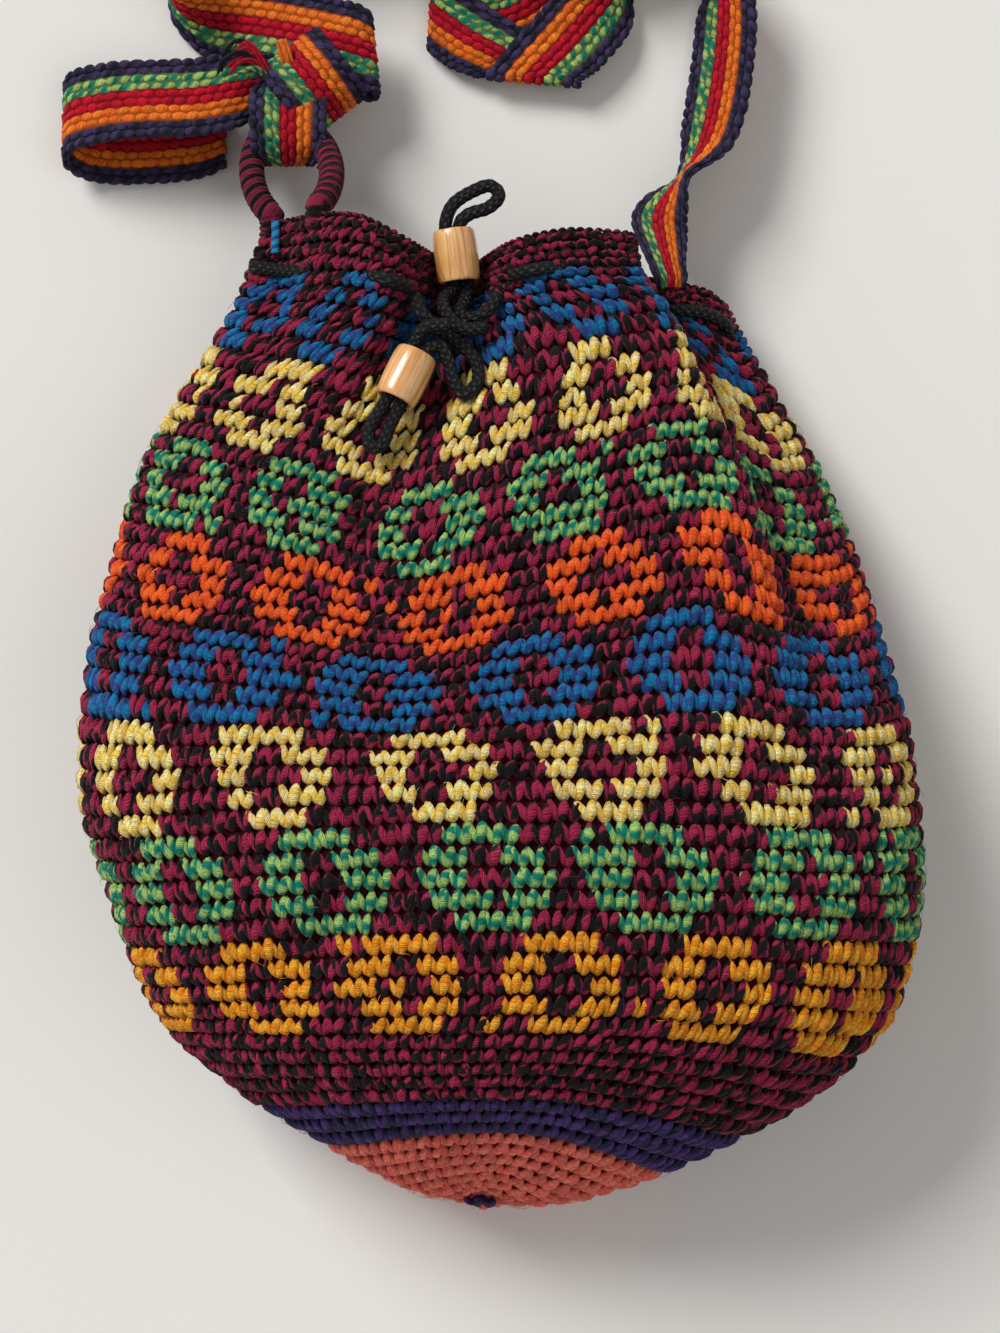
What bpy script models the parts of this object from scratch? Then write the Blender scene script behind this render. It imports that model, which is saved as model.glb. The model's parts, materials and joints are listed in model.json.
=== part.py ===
"""Crochet bucket bag with a drawstring, lying on its back.

The bag is worked in rounds from the centre of its base to its rim. It lies with its mouth towards +Y and its
front up, and its flat underside rests on z = 0, at the origin. The front is folded by the drawstring: one deep
valley in the middle and one overlap near the right side.
"""

import math

import bmesh
import bpy
import numpy as np
from mathutils import Matrix, Vector

MM = 0.001

# Overall size of the bag as it lies
BAG_WIDTH = 264 * MM
BAG_LENGTH = 318 * MM
BAG_DEPTH = 115 * MM

# Crocheted wall
ROUNDS = 60
WALL = 3.4 * MM
RIDGE = 1.3 * MM

# Drawstring
CORD_DIAMETER = 4.1 * MM
CORD_GAP = 0.35 * MM
# Least height of the strap above the floor
FLOOR_GAP = 0.2 * MM
CORD_ROUND = 56.0

# Where the drawstring starts and how far it goes round, and the stretches that lie outside, in turns round the bag
CORD_START, CORD_SWEEP, CORD_CROSSING = 0.508, 0.942, 0.045
OUT_SPANS = ((0.42, 0.512), (0.640, 0.685), (0.84, 0.88), (1.12, 1.16), (1.30, 1.345), (1.447, 1.60))

# Free ends of the drawstring, as points in millimetres: out of the wall, a knot, up through the bead, a loop, and back
UPPER_END = (
    (-0.5, 132.0, 57.0), (-3.5, 127.0, 58.5), (-9.0, 124.5, 57.0), (-12.5, 127.0, 52.5), (-10.8, 131.5, 47.5),
    (-10.3, 135.5, 46.0), (-11.1, 142.0, 46.0), (-12.0, 150.0, 46.0), (-12.7, 155.5, 46.0),
    (-9.8, 158.6, 45.8), (-3.5, 161.0, 44.5), (-0.2, 165.0, 43.5), (-3.0, 168.0, 43.0), (-9.0, 166.0, 43.5),
    (-15.0, 161.5, 45.0), (-17.1, 155.5, 46.0), (-16.4, 150.0, 46.0), (-15.5, 142.0, 46.0), (-14.7, 135.5, 46.3),
    (-17.5, 131.5, 51.0), (-17.0, 127.0, 57.0), (-11.5, 121.0, 61.5), (-4.0, 121.0, 63.5),
)
LOWER_END = (
    (-26.5, 131.5, 58.5), (-24.0, 125.5, 61.5), (-19.0, 121.0, 61.0), (-12.0, 116.0, 60.0), (-7.5, 111.0, 61.0),
    (-7.0, 104.0, 63.5), (-11.0, 100.5, 65.0), (-14.5, 105.0, 64.0), (-16.0, 111.0, 63.5), (-19.0, 115.5, 64.0),
    (-22.6, 113.5, 65.2), (-26.8, 104.6, 66.8), (-31.5, 94.8, 68.5), (-34.0, 89.5, 69.8),
    (-36.0, 84.5, 70.8), (-39.0, 83.5, 70.8), (-40.0, 88.5, 70.0), (-35.5, 96.8, 68.5), (-30.8, 106.6, 66.8),
    (-26.5, 115.5, 65.2), (-23.0, 120.5, 66.8), (-15.5, 121.5, 67.0),
)
UPPER_BEAD, UPPER_AXIS = (-13.7, 145.5, 46.0), (-0.12, 1.0, 0.0)
LOWER_BEAD, LOWER_AXIS = (-28.8, 105.6, 66.8), (0.43, 0.9, -0.16)
BEAD_STEPS = 8

# Wooden beads
BEAD_LENGTH = 16.5 * MM
BEAD_DIAMETER = 13.8 * MM
BEAD_BORE = 9.8 * MM
BEAD_END_DIAMETER = 11.2 * MM

# Strap
STRAP_WIDTH = 27.5 * MM
STRAP_THICKNESS = 3.0 * MM
STRAP_EDGE = 1.2 * MM
STRAP_STEP = 8.0 * MM
# Sewn end of the strap on the right part of the rim: x, round, share of the full width
STRAP_FOOT = ((54.5, 58.9, 0.38), (54.5, 60.0, 0.40))

# Lashing that sews the strap's end to the rim: thickness, legs, pitch, length, x of its middle, round
LASHING_DIAMETER = 1.5 * MM
LASHING_LEGS = 5
LASHING_PITCH = 1.8 * MM
LASHING_LEVELS = (57.2, 58.6)
LASHING_X = 55.0 * MM

# The strap's stations: centre (x, y, z), heading and tilt of its width in degrees, share of the full width.
# The near stretch runs from the rim to the first fold, the middle one lies between the two folds, and the far one
# goes on to the knot.
STRAP_NEAR = (
    (53.5, 146.0, 26.8, -4, 6, 0.46), (52.0, 154.0, 22.5, -8, 18, 0.62), (51.5, 161.5, 18.5, -16, 40, 0.82),
    (54.5, 168.5, 16.0, -27, 64, 0.97), (59.5, 175.5, 14.8, -35, 84, 1.0), (64.5, 182.0, 14.5, -30, 68, 1.0),
    (68.0, 190.0, 13.0, -20, 52, 1.0), (70.5, 201.0, 12.5, -10, 48, 1.0), (72.5, 215.0, 12.0, -6, 48, 1.0),
    (73.5, 229.0, 12.5, -2, 52, 1.0), (72.5, 243.0, 14.0, 15, 75, 1.0), (66.0, 255.0, 14.8, 50, 88, 1.0),
    (54.0, 259.0, 14.8, 95, 88, 1.0), (44.0, 253.0, 14.8, 125, 84, 1.0), (38.5, 243.5, 13.5, 135, 60, 1.0),
    (34.0, 235.0, 11.0, 139, 25, 1.0), (28.5, 228.0, 9.2, 140, 5, 1.0), (22.0, 220.5, 8.6, 141, 0, 1.0),
)
STRAP_FOLD = ((11.0, 209.5, 8.6, 175, 0, 1.15),)
STRAP_MIDDLE = (
    (11.0, 209.3, 5.9, 175, 0, 1.15), (-1.0, 218.0, 5.4, 222, 0, 0.85), (-11.0, 223.5, 5.0, 238, 0, 0.88),
    (-22.0, 231.5, 4.5, 266, 0, 1.0),
)
STRAP_FAR = (
    (-22.0, 231.3, 1.8, 266, 0, 1.0), (-10.0, 229.5, 1.8, 278, 0, 0.9), (2.0, 230.5, 1.8, 290, 0, 0.95),
    (12.0, 235.5, 2.6, 305, 5, 1.0), (20.0, 244.0, 7.0, 325, 32, 1.0), (21.5, 253.5, 12.5, 350, 62, 1.0),
    (14.0, 260.5, 14.8, 320, 84, 1.0), (0.0, 262.0, 14.8, 270, 88, 1.0), (-22.0, 262.0, 14.8, 270, 88, 1.0),
    (-52.0, 261.0, 14.8, 270, 88, 1.0), (-76.0, 259.0, 14.8, 275, 88, 1.0), (-94.0, 255.0, 14.8, 290, 88, 1.0),
    (-105.0, 246.0, 14.8, 325, 88, 1.0), (-106.5, 236.0, 14.8, 380, 84, 1.0), (-101.0, 230.0, 13.0, 420, 62, 1.0),
    (-91.0, 227.5, 9.5, 436, 30, 1.0), (-78.0, 225.0, 12.0, 436, 12, 1.0),
    (-65.0, 221.5, 17.5, 437, 3, 1.0), (-54.0, 218.5, 21.0, 440, 0, 1.0), (-47.0, 216.8, 21.0, 446, 0, 1.0),
    (-41.0, 214.5, 17.6, 455, 0, 0.95), (-45.0, 211.5, 13.6, 465, 0, 0.85), (-52.5, 209.5, 12.6, 468, 0, 0.60),
    (-62.0, 207.5, 12.6, 462, 0, 0.38),
)
STRAP_WRAP = (
    (-68.0, 206.0, 17.0, 360, 0, 0.46), (-68.0, 203.0, 21.5, 360, 0, 0.52), (-68.0, 197.5, 25.0, 360, 0, 0.52),
    (-68.0, 189.5, 26.6, 360, 0, 0.52), (-68.0, 183.0, 24.6, 360, 0, 0.50), (-68.5, 180.3, 18.5, 360, 0, 0.48),
    (-68.5, 181.5, 11.0, 360, 0, 0.48), (-68.0, 187.5, 5.8, 360, 0, 0.52), (-68.0, 196.0, 4.2, 360, 0, 0.52),
    (-68.0, 202.0, 5.4, 360, 0, 0.50), (-68.0, 206.5, 9.5, 360, 0, 0.42),
)
STRAP_TAIL = (
    (-68.0, 207.0, 13.0, 270, 0, 0.35), (-73.0, 206.5, 13.6, 270, 0, 0.65), (-80.5, 204.5, 16.0, 270, 4, 0.85),
    (-88.0, 202.5, 19.0, 270, 10, 0.95), (-98.0, 200.5, 20.5, 270, 16, 1.0), (-115.0, 200.0, 20.0, 270, 17, 1.0),
    (-129.0, 199.0, 18.0, 270, 14, 1.0), (-139.5, 197.0, 13.5, 270, 10, 1.0), (-141.5, 193.5, 9.0, 270, 6, 1.0),
    (-136.0, 190.0, 4.6, 270, 0, 1.0), (-126.0, 189.0, 2.2, 270, 0, 1.0), (-110.0, 189.5, 2.2, 270, 0, 1.0),
    (-98.0, 191.0, 2.4, 270, 0, 1.0), (-90.0, 193.0, 3.0, 270, 0, 0.90),
)
KNOT_CENTRE, KNOT_RADII = (-68.0, 206.5, 13.0), (12.0, 6.0, 9.0)
KNOT_STEPS = 16

# Wrapped loop on the left end of the rim
LOOP_X = -65 * MM
LOOP_FOOT_ANGLE = 38.0
LOOP_STEPS = 22
LOOP_LEAN = -4 * MM
LOOP_WIDTH = 34 * MM
LOOP_HEIGHT = 43 * MM
LOOP_TUBE = 7.8 * MM
LOOP_TIP_Z = 13 * MM

# Clearance between neighbouring pieces
GAP = 0.35 * MM

# The stations below are drawn in millimetres for a bag of this size, and the sizes above stretch them.
DRAWN_WIDTH, DRAWN_LENGTH, DRAWN_DEPTH = 264.0, 318.0, 115.0
SCALE_X = BAG_WIDTH / DRAWN_WIDTH
SCALE_Y = BAG_LENGTH / DRAWN_LENGTH
SCALE_Z = BAG_DEPTH / DRAWN_DEPTH

# Stations along the rounds: round, front (y, z), back (y, z), left edge (x, y), right edge (x, y)
STATIONS = (
    (0.0, -151.5, 33.0, -151.5, 33.0, -6.0, -151.5, -6.0, -151.5),
    (2.0, -146.5, 45.5, -157.0, 21.0, -20.0, -151.0, 9.0, -154.0),
    (4.0, -140.0, 57.5, -157.0, 8.0, -33.0, -146.5, 24.0, -152.5),
    (6.0, -132.5, 69.0, -147.5, 0.0, -44.5, -140.5, 38.0, -148.5),
    (8.0, -124.3, 80.0, -135.0, 0.0, -55.0, -133.0, 52.0, -142.5),
    (11.0, -112.0, 95.0, -116.0, 0.0, -75.5, -119.5, 76.0, -130.0),
    (13.5, -102.0, 102.0, -103.0, 0.0, -91.5, -107.5, 95.0, -119.0),
    (16.0, -91.0, 107.5, -89.0, 0.0, -103.5, -96.0, 112.0, -105.0),
    (18.5, -76.0, 112.0, -76.0, 0.0, -110.5, -85.0, 125.0, -87.0),
    (23.5, -44.6, 115.0, -49.0, 0.0, -122.0, -54.0, 131.8, -50.0),
    (28.5, -13.4, 112.0, -22.0, 0.0, -131.5, -19.0, 129.5, -15.6),
    (33.5, 12.0, 104.0, 4.7, 0.0, -128.8, 20.5, 122.5, 17.0),
    (38.5, 36.5, 94.0, 31.5, 0.0, -122.5, 48.0, 115.0, 45.0),
    (43.5, 64.5, 82.0, 58.4, 0.0, -114.5, 78.0, 106.5, 70.0),
    (48.5, 93.6, 70.0, 85.0, 0.5, -101.5, 104.0, 94.5, 95.0),
    (53.5, 127.0, 60.0, 112.0, 3.5, -84.0, 133.0, 80.5, 119.0),
    (60.0, 147.6, 56.0, 147.0, 6.5, -74.4, 158.5, 72.5, 134.0),
)

# Share of the depth at which the bag is widest, and how square its sections are, at the base and on the wall
SIDE_HEIGHT = (0.50, 0.42)
SQUARE_ACROSS = (1.0, 0.86)
SQUARE_TOP = (1.0, 0.95)
SQUARE_BOTTOM = (1.0, 0.62)
BASE_END, WALL_START = 7.0, 20.0

# Sway of the rounds across the front, as (x, rise along y), full from round 43 upwards
SWAY = ((-130, 0), (-95, 0), (-63, -2), (-32, -8), (0, 0), (22, 5), (60, 13), (88, -2), (110, -6), (130, 0))
SWAY_ROUNDS = (24.0, 43.0)
# Rise of the rim's lobes over its middle, as (x, rise along y)
RIM_RISE = ((-80, 0), (-62, 5), (-42, 11), (-22, 5), (-8, 0), (20, 1), (42, -2), (80, 0))
RIM_ROUNDS = (50.0, 60.0)

# Valley in the middle of the front, as (y, x of its floor, depth)
VALLEY = ((175, -13, 40), (145, -13, 38), (128, -17, 31), (116, -22, 24), (106, -26, 18), (91, -31, 12), (68, -35, 6),
          (50, -44, 3), (28, -52, 0), (-170, -60, 0))
VALLEY_LEFT, VALLEY_LEFT_SPREAD, VALLEY_RIGHT, VALLEY_RIGHT_SPREAD = 9.5, 7.0, 10.5, 16.0

# Overlap near the right side, as (y, x of the fold's edge, drop of the surface beyond it)
OVERLAP = ((175, 36, 20), (144, 38, 20), (126, 49, 18), (109, 57, 15), (92, 64, 13), (75, 71, 11), (57, 76.5, 9),
           (44, 79, 7), (27, 84, 3.5), (10, 88, 0), (-170, 90, 0))
OVERLAP_REACH = 5.5
# The rounds beyond the fold lie further down: how far, where that begins and ends beyond the edge, and its rounds
OVERLAP_SHIFT = 11.0
SHIFT_FROM, SHIFT_TO, SHIFT_ROUNDS = (0.0, 16.0), (22.0, 44.0), (44.0, 55.0)

# Broad lumps and dents of the soft wall: centre (x, y), radii across and along, turn in degrees, height
LUMPS = (
    (-39, 150, 15, 62, 12, 9.0),
    (-70, 150, 9, 30, 0, -9.0),
    (22, 120, 22, 40, 0, 3.0),
    (-58, -70, 9, 52, -50, -4.5),
    (-82, -98, 22, 16, 0, 2.5),
    (62, -132, 40, 7, -14, 3.0),
    (40, -20, 50, 34, 20, 2.5),
    (-60, 20, 34, 26, -20, -2.5),
    (95, 10, 12, 40, -8, -3.0),
)

# Flat patch under the bag: how far the soft wall sinks onto it, and the rounds where it begins and ends
FLAT_SINK = 5.0
FLAT_FROM, FLAT_TO = (0.0, 6.0), (50.0, 54.0)

FLAT_FADE = 9.0
AROUND_DENSE = 480
AROUND = 38
FRONT_WEIGHT = 1.3
INNER_STEP = 3


def smooth_step(value, low, high):
    """Return 0 below low, 1 above high and an even S between them."""
    share = np.clip((value - low) / (high - low), 0.0, 1.0)
    return share * share * (3.0 - 2.0 * share)


def bump(distance, width):
    """Return a bell of height 1 at distance 0."""
    return np.exp(-((distance / width) ** 2))


def follow(knots, values, at):
    """Read a smooth curve through the knots, without overshoot between them."""
    knots, values, at = (np.asarray(item, dtype=float) for item in (knots, values, at))
    steps = np.diff(knots)
    slopes = np.diff(values) / steps
    tangents = np.empty_like(values)
    tangents[0], tangents[-1] = slopes[0], slopes[-1]
    before, after = slopes[:-1], slopes[1:]
    same_way = before * after > 0
    total = np.where(same_way, before + after, 1.0)
    tangents[1:-1] = np.where(same_way, 2.0 * before * after / total, 0.0)
    at = np.clip(at, knots[0], knots[-1])
    index = np.clip(np.searchsorted(knots, at, side="right") - 1, 0, len(steps) - 1)
    step = steps[index]
    t = (at - knots[index]) / step
    return ((1 + 2 * t) * (1 - t) ** 2 * values[index] + t * (1 - t) ** 2 * step * tangents[index]
            + t * t * (3 - 2 * t) * values[index + 1] + t * t * (t - 1) * step * tangents[index + 1])


def column(table, index):
    """Return one column of a table of stations."""
    return [row[index] for row in table]


def by_height(table, index, y):
    """Read a column of a table that is ordered from the rim down."""
    rows = table[::-1]
    return follow(column(rows, 0), column(rows, index), y)


def wall_surface(turn, level):
    """Return points on the wall's outside.

    turn is the share of the way round, from the middle of the back over the left side and the front (0.5).
    level is the round, from 0 at the base's centre to ROUNDS at the rim.
    """
    turn, level = np.broadcast_arrays(np.asarray(turn, dtype=float), np.asarray(level, dtype=float))
    rounds = column(STATIONS, 0)
    front_y, front_z, back_y, back_z, left_x, left_y, right_x, right_y = (
        follow(rounds, column(STATIONS, i), level) for i in range(1, 9))
    wall_share = smooth_step(level, BASE_END, WALL_START)
    side, across, top, bottom = (
        pair[0] + (pair[1] - pair[0]) * wall_share
        for pair in (SIDE_HEIGHT, SQUARE_ACROSS, SQUARE_TOP, SQUARE_BOTTOM))
    angle = -math.pi / 2 - 2 * math.pi * turn
    cosine, sine = np.cos(angle), np.sin(angle)
    width = np.sign(cosine) * np.abs(cosine) ** across
    height = np.where(sine >= 0, side + (1 - side) * np.abs(sine) ** top, side * (1 - np.abs(sine) ** bottom))
    centre, half = (left_x + right_x) / 2, (right_x - left_x) / 2
    x = centre + half * width
    edge_y = np.where(width < 0, left_y, right_y)
    y = (back_y + (front_y - back_y) * height) * (1 - width ** 2) + edge_y * width ** 2
    z = back_z + (front_z - back_z) * height

    front = smooth_step(height, side, side + 0.35)
    y = y + front * smooth_step(level, *SWAY_ROUNDS) * follow(*zip(*SWAY), x)
    y = y + front * smooth_step(level, *RIM_ROUNDS) * follow(*zip(*RIM_RISE), x)
    for lump_x, lump_y, across_r, along_r, degrees, rise in LUMPS:
        c, s = math.cos(math.radians(degrees)), math.sin(math.radians(degrees))
        dx, dy = x - lump_x, y - lump_y
        z = z + front * rise * bump((dx * c + dy * s) / across_r, 1.0) * bump((dy * c - dx * s) / along_r, 1.0)

    floor_x, depth = by_height(VALLEY, 1, y), by_height(VALLEY, 2, y)
    offset = x - floor_x
    shallow = 1 - depth / max(column(VALLEY, 2))
    reach = np.where(offset < 0, VALLEY_LEFT + VALLEY_LEFT_SPREAD * shallow,
                     VALLEY_RIGHT + VALLEY_RIGHT_SPREAD * shallow)
    z = z - front * depth * bump(offset / reach, 1.0)

    edge_x, drop = by_height(OVERLAP, 1, y), by_height(OVERLAP, 2, y)
    beyond = x - edge_x
    upper = smooth_step(height, 0.0, side) * (1 - 0.35 * np.abs(width) ** 8)
    inside = front * (1 - np.abs(width) ** 12)
    shift = smooth_step(beyond, *SHIFT_FROM) * (1 - smooth_step(beyond, *SHIFT_TO)) * smooth_step(level, *SHIFT_ROUNDS)
    y = y - front * OVERLAP_SHIFT * shift
    z = z - upper * drop * (1.1 * smooth_step(beyond, -4, 10) - 0.1 * smooth_step(beyond, 10, 24))
    push = OVERLAP_REACH * np.sqrt(drop / max(column(OVERLAP, 2)))
    x = x + inside * push * (bump(beyond + 2, 8) - 0.7 * bump(beyond - 10, 8))
    flat = smooth_step(level, *FLAT_FROM) * (1 - smooth_step(level, *FLAT_TO))
    z = np.maximum(z - FLAT_SINK * (1 - height) * flat, 0.0)
    return np.stack([x * SCALE_X, y * SCALE_Y, z * SCALE_Z], axis=-1)


def wall_normal(turn, level):
    """Return the wall's outward unit normals."""
    step_turn, step_level = 0.002, 0.2
    level = np.asarray(level, dtype=float)
    low, high = np.clip(level - step_level, 0.05, ROUNDS), np.clip(level + step_level, 0.05, ROUNDS)
    around = wall_surface(turn + step_turn, level) - wall_surface(turn - step_turn, level)
    along = wall_surface(turn, high) - wall_surface(turn, low)
    normal = np.cross(around, along)
    return normal / np.maximum(np.linalg.norm(normal, axis=-1, keepdims=True), 1e-12)


def spread_turns(level, count, front_weight):
    """Spread count places evenly by length round one level, closer together on the front."""
    turn = np.linspace(0.0, 1.0, AROUND_DENSE + 1)
    points = wall_surface(turn, level)
    lengths = np.linalg.norm(np.diff(points, axis=0), axis=1)
    middle = (turn[:-1] + turn[1:]) / 2
    lengths = lengths * (1 + front_weight * smooth_step(0.5 - np.abs(middle - 0.5), 0.2, 0.3))
    total = np.concatenate([[0.0], np.cumsum(lengths)])
    return np.interp(np.arange(count) / count * total[-1], total, turn)


def wall_ring(level, inset):
    """Return one closed ring of points, inset from the wall's outside."""
    turn = spread_turns(CORD_ROUND, AROUND, FRONT_WEIGHT)
    points = wall_surface(turn, level)
    ridge = 0.5 - 0.5 * math.cos(2 * math.pi * level)
    free = smooth_step(points[:, 2] / SCALE_Z, 0.5, FLAT_FADE)
    depth = inset if inset else RIDGE * (1 - ridge) * free
    moved = points - wall_normal(turn, level) * np.reshape(depth * np.ones(AROUND), (-1, 1))
    if not inset:
        moved[:, 2] = np.maximum(moved[:, 2], 0.0)
    return moved


def clear_scene():
    """Remove every object of the open scene."""
    for item in list(bpy.data.objects):
        bpy.data.objects.remove(item, do_unlink=True)


def make_collection(name):
    """Return a new collection of the scene."""
    made = bpy.data.collections.new(name)
    bpy.context.scene.collection.children.link(made)
    return made


def make_material(name, color, roughness, metallic=0.0):
    """Return a plain Principled material."""
    made = bpy.data.materials.new(name)
    made.use_nodes = True
    shader = made.node_tree.nodes["Principled BSDF"]
    shader.inputs["Base Color"].default_value = (*color, 1.0)
    shader.inputs["Roughness"].default_value = roughness
    shader.inputs["Metallic"].default_value = metallic
    return made


def add_object(name, mesh, material, collection):
    """Put a mesh into the scene as a named object with its material."""
    made = bpy.data.objects.new(name, mesh)
    mesh.materials.clear()
    mesh.materials.append(material)
    collection.objects.link(made)
    return made


def loft(name, rings):
    """Return a closed mesh through rings of points with equal counts, each end closed round its middle."""
    work = bmesh.new()
    rows = [[work.verts.new(point) for point in ring] for ring in rings]
    count = len(rows[0])
    for low, high in zip(rows, rows[1:]):
        for i in range(count):
            j = (i + 1) % count
            work.faces.new((low[i], low[j], high[j], high[i]))
    for ring in (rows[0], rows[-1]):
        middle = work.verts.new(sum((vert.co for vert in ring), Vector()) / count)
        for i in range(count):
            work.faces.new((ring[i], ring[(i + 1) % count], middle))
    bmesh.ops.recalc_face_normals(work, faces=work.faces)
    mesh = bpy.data.meshes.new(name)
    work.to_mesh(mesh)
    work.free()
    return mesh


def body_mesh():
    """Build the bag's shell: ridged outside from the base's centre to the rim, then down the smooth inside."""
    outside = [wall_ring(step / 2, 0.0) for step in range(1, 2 * ROUNDS + 1)]
    levels = list(range(ROUNDS, 1, -INNER_STEP))
    inside = [wall_ring(level, WALL) for level in levels]
    return loft("bag_body", outside + inside)


def rim_place(x, level=ROUNDS):
    """Return the point on the front of the wall at one level that has the given x, and its outward normal."""
    turn = np.linspace(0.25, 0.75, AROUND_DENSE)
    points = wall_surface(turn, level)
    nearest = int(np.argmin(np.abs(points[:, 0] - x)))
    return Vector(points[nearest]), Vector(wall_normal(turn[nearest:nearest + 1], level)[0])


def smooth_route(points, spacing):
    """Return points spaced evenly along a smooth curve through the given points."""
    points = np.asarray(points, dtype=float)
    chord = np.concatenate([[0.0], np.cumsum(np.sqrt(np.linalg.norm(np.diff(points, axis=0), axis=1)))])
    fine = []
    for i in range(len(points) - 1):
        p0, p1, p2, p3 = points[max(i - 1, 0)], points[i], points[i + 1], points[min(i + 2, len(points) - 1)]
        span = chord[i + 1] - chord[i]
        before = chord[i] - chord[max(i - 1, 0)] or span
        after = chord[min(i + 2, len(points) - 1)] - chord[i + 1] or span
        start = ((p1 - p0) / before - (p2 - p0) / (before + span) + (p2 - p1) / span) * span
        end = ((p2 - p1) / span - (p3 - p1) / (span + after) + (p3 - p2) / after) * span
        if i == 0:
            start = p2 - p1
        if i == len(points) - 2:
            end = p2 - p1
        for t in np.linspace(0, 1, 24, endpoint=False):
            fine.append((2 * t ** 3 - 3 * t ** 2 + 1) * p1 + (t ** 3 - 2 * t ** 2 + t) * start
                        + (3 * t ** 2 - 2 * t ** 3) * p2 + (t ** 3 - t ** 2) * end)
    fine = np.array(fine + [points[-1]])
    length = np.concatenate([[0.0], np.cumsum(np.linalg.norm(np.diff(fine, axis=0), axis=1))])
    count = max(2, int(round(length[-1] / spacing)) + 1)
    at = np.linspace(0, length[-1], count)
    return np.stack([np.interp(at, length, fine[:, k]) for k in range(fine.shape[1])], axis=-1)


def cord_object(name, points, radius, material, collection, sides=2):
    """Make a round cord with filled ends along a poly line."""
    curve = bpy.data.curves.new(name, "CURVE")
    curve.dimensions = "3D"
    curve.bevel_depth = radius
    curve.bevel_resolution = sides
    curve.use_fill_caps = True
    spline = curve.splines.new("POLY")
    spline.points.add(len(points) - 1)
    for target, point in zip(spline.points, points):
        target.co = (*point, 1.0)
    made = bpy.data.objects.new(name, curve)
    curve.materials.append(material)
    collection.objects.link(made)
    return made


def to_mesh_object(source, collection):
    """Replace a curve object by a mesh object with welded caps."""
    graph = bpy.context.evaluated_depsgraph_get()
    mesh = bpy.data.meshes.new_from_object(source.evaluated_get(graph))
    work = bmesh.new()
    work.from_mesh(mesh)
    bmesh.ops.remove_doubles(work, verts=work.verts, dist=0.00001)
    work.to_mesh(mesh)
    work.free()
    name = source.name
    made = bpy.data.objects.new(name + "_mesh", mesh)
    made.matrix_world = source.matrix_world
    bpy.data.objects.remove(source, do_unlink=True)
    made.name = name
    collection.objects.link(made)
    return made


def as_cutter(item):
    """Mark an object as a cutter."""
    item.hide_render = True
    item.display_type = "WIRE"
    return item


def boolean(target, tool, operation):
    """Add an exact Boolean modifier to the target."""
    modifier = target.modifiers.new(operation.title() + "_" + tool.name, "BOOLEAN")
    modifier.operation = operation
    modifier.solver = "EXACT"
    modifier.object = tool


def rim_cord_route():
    """Return the drawstring's way round the rim: in and out of the wall, from one side of the valley to the other.

    OUT_SPANS are the shares of the way round where the cord lies outside the wall.
    """
    inner = WALL + CORD_GAP + CORD_DIAMETER / 2
    outer = CORD_GAP + CORD_DIAMETER / 2
    turn = np.linspace(CORD_START, CORD_START + CORD_SWEEP, AROUND_DENSE)
    out = np.zeros_like(turn)
    for low, high in OUT_SPANS:
        middle, half = (low + high) / 2, (high - low) / 2
        out = np.maximum(out, 1 - smooth_step(np.abs(turn - middle), half, half + CORD_CROSSING))
    base = wall_surface(turn % 1.0, CORD_ROUND)
    normal = wall_normal(turn % 1.0, CORD_ROUND)
    return smooth_route(base + normal * (out * (outer + inner) - inner)[:, None], 2.2 * CORD_DIAMETER)


def ribbon_rings(table):
    """Return the strap's sections, one for each row of the table.

    A row is its centre (x, y, z) in millimetres, the heading of its width and the width's tilt in degrees, and
    the share of the full width. The width points from the green stripe to the orange one.
    """
    table = np.asarray(table, dtype=float)
    centre = table[:, :3] * MM
    heading, tilt = np.radians(table[:, 3]), np.radians(table[:, 4])
    across = np.stack([np.cos(tilt) * np.cos(heading), np.cos(tilt) * np.sin(heading), np.sin(tilt)], axis=-1)
    along = np.gradient(centre, axis=0)
    up = np.cross(across, along)
    up /= np.linalg.norm(up, axis=1, keepdims=True)
    half, inner, thick = STRAP_WIDTH / 2, STRAP_WIDTH / 2 - STRAP_EDGE, STRAP_THICKNESS / 2
    profile = [(-half, 0.0), (-inner, thick), (0.0, thick), (inner, thick),
               (half, 0.0), (inner, -thick), (0.0, -thick), (-inner, -thick)]
    rings = [[centre[i] + across[i] * side * table[i, 5] + up[i] * height for side, height in profile]
             for i in range(len(table))]
    return [[(x, y, max(z, FLOOR_GAP)) for x, y, z in ring] for ring in rings]


def strap_foot():
    """Return the stations of the strap's sewn end, which lies on the outside of the rim."""
    stations = []
    for x, level, share in STRAP_FOOT:
        point, normal = rim_place(x * MM, level)
        centre = (point + normal * (STRAP_THICKNESS / 2 + GAP)) / MM
        tilt = math.degrees(math.atan2(-normal.x, normal.z))
        stations.append((*centre, 0.0, tilt, share))
    return tuple(stations)


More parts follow.
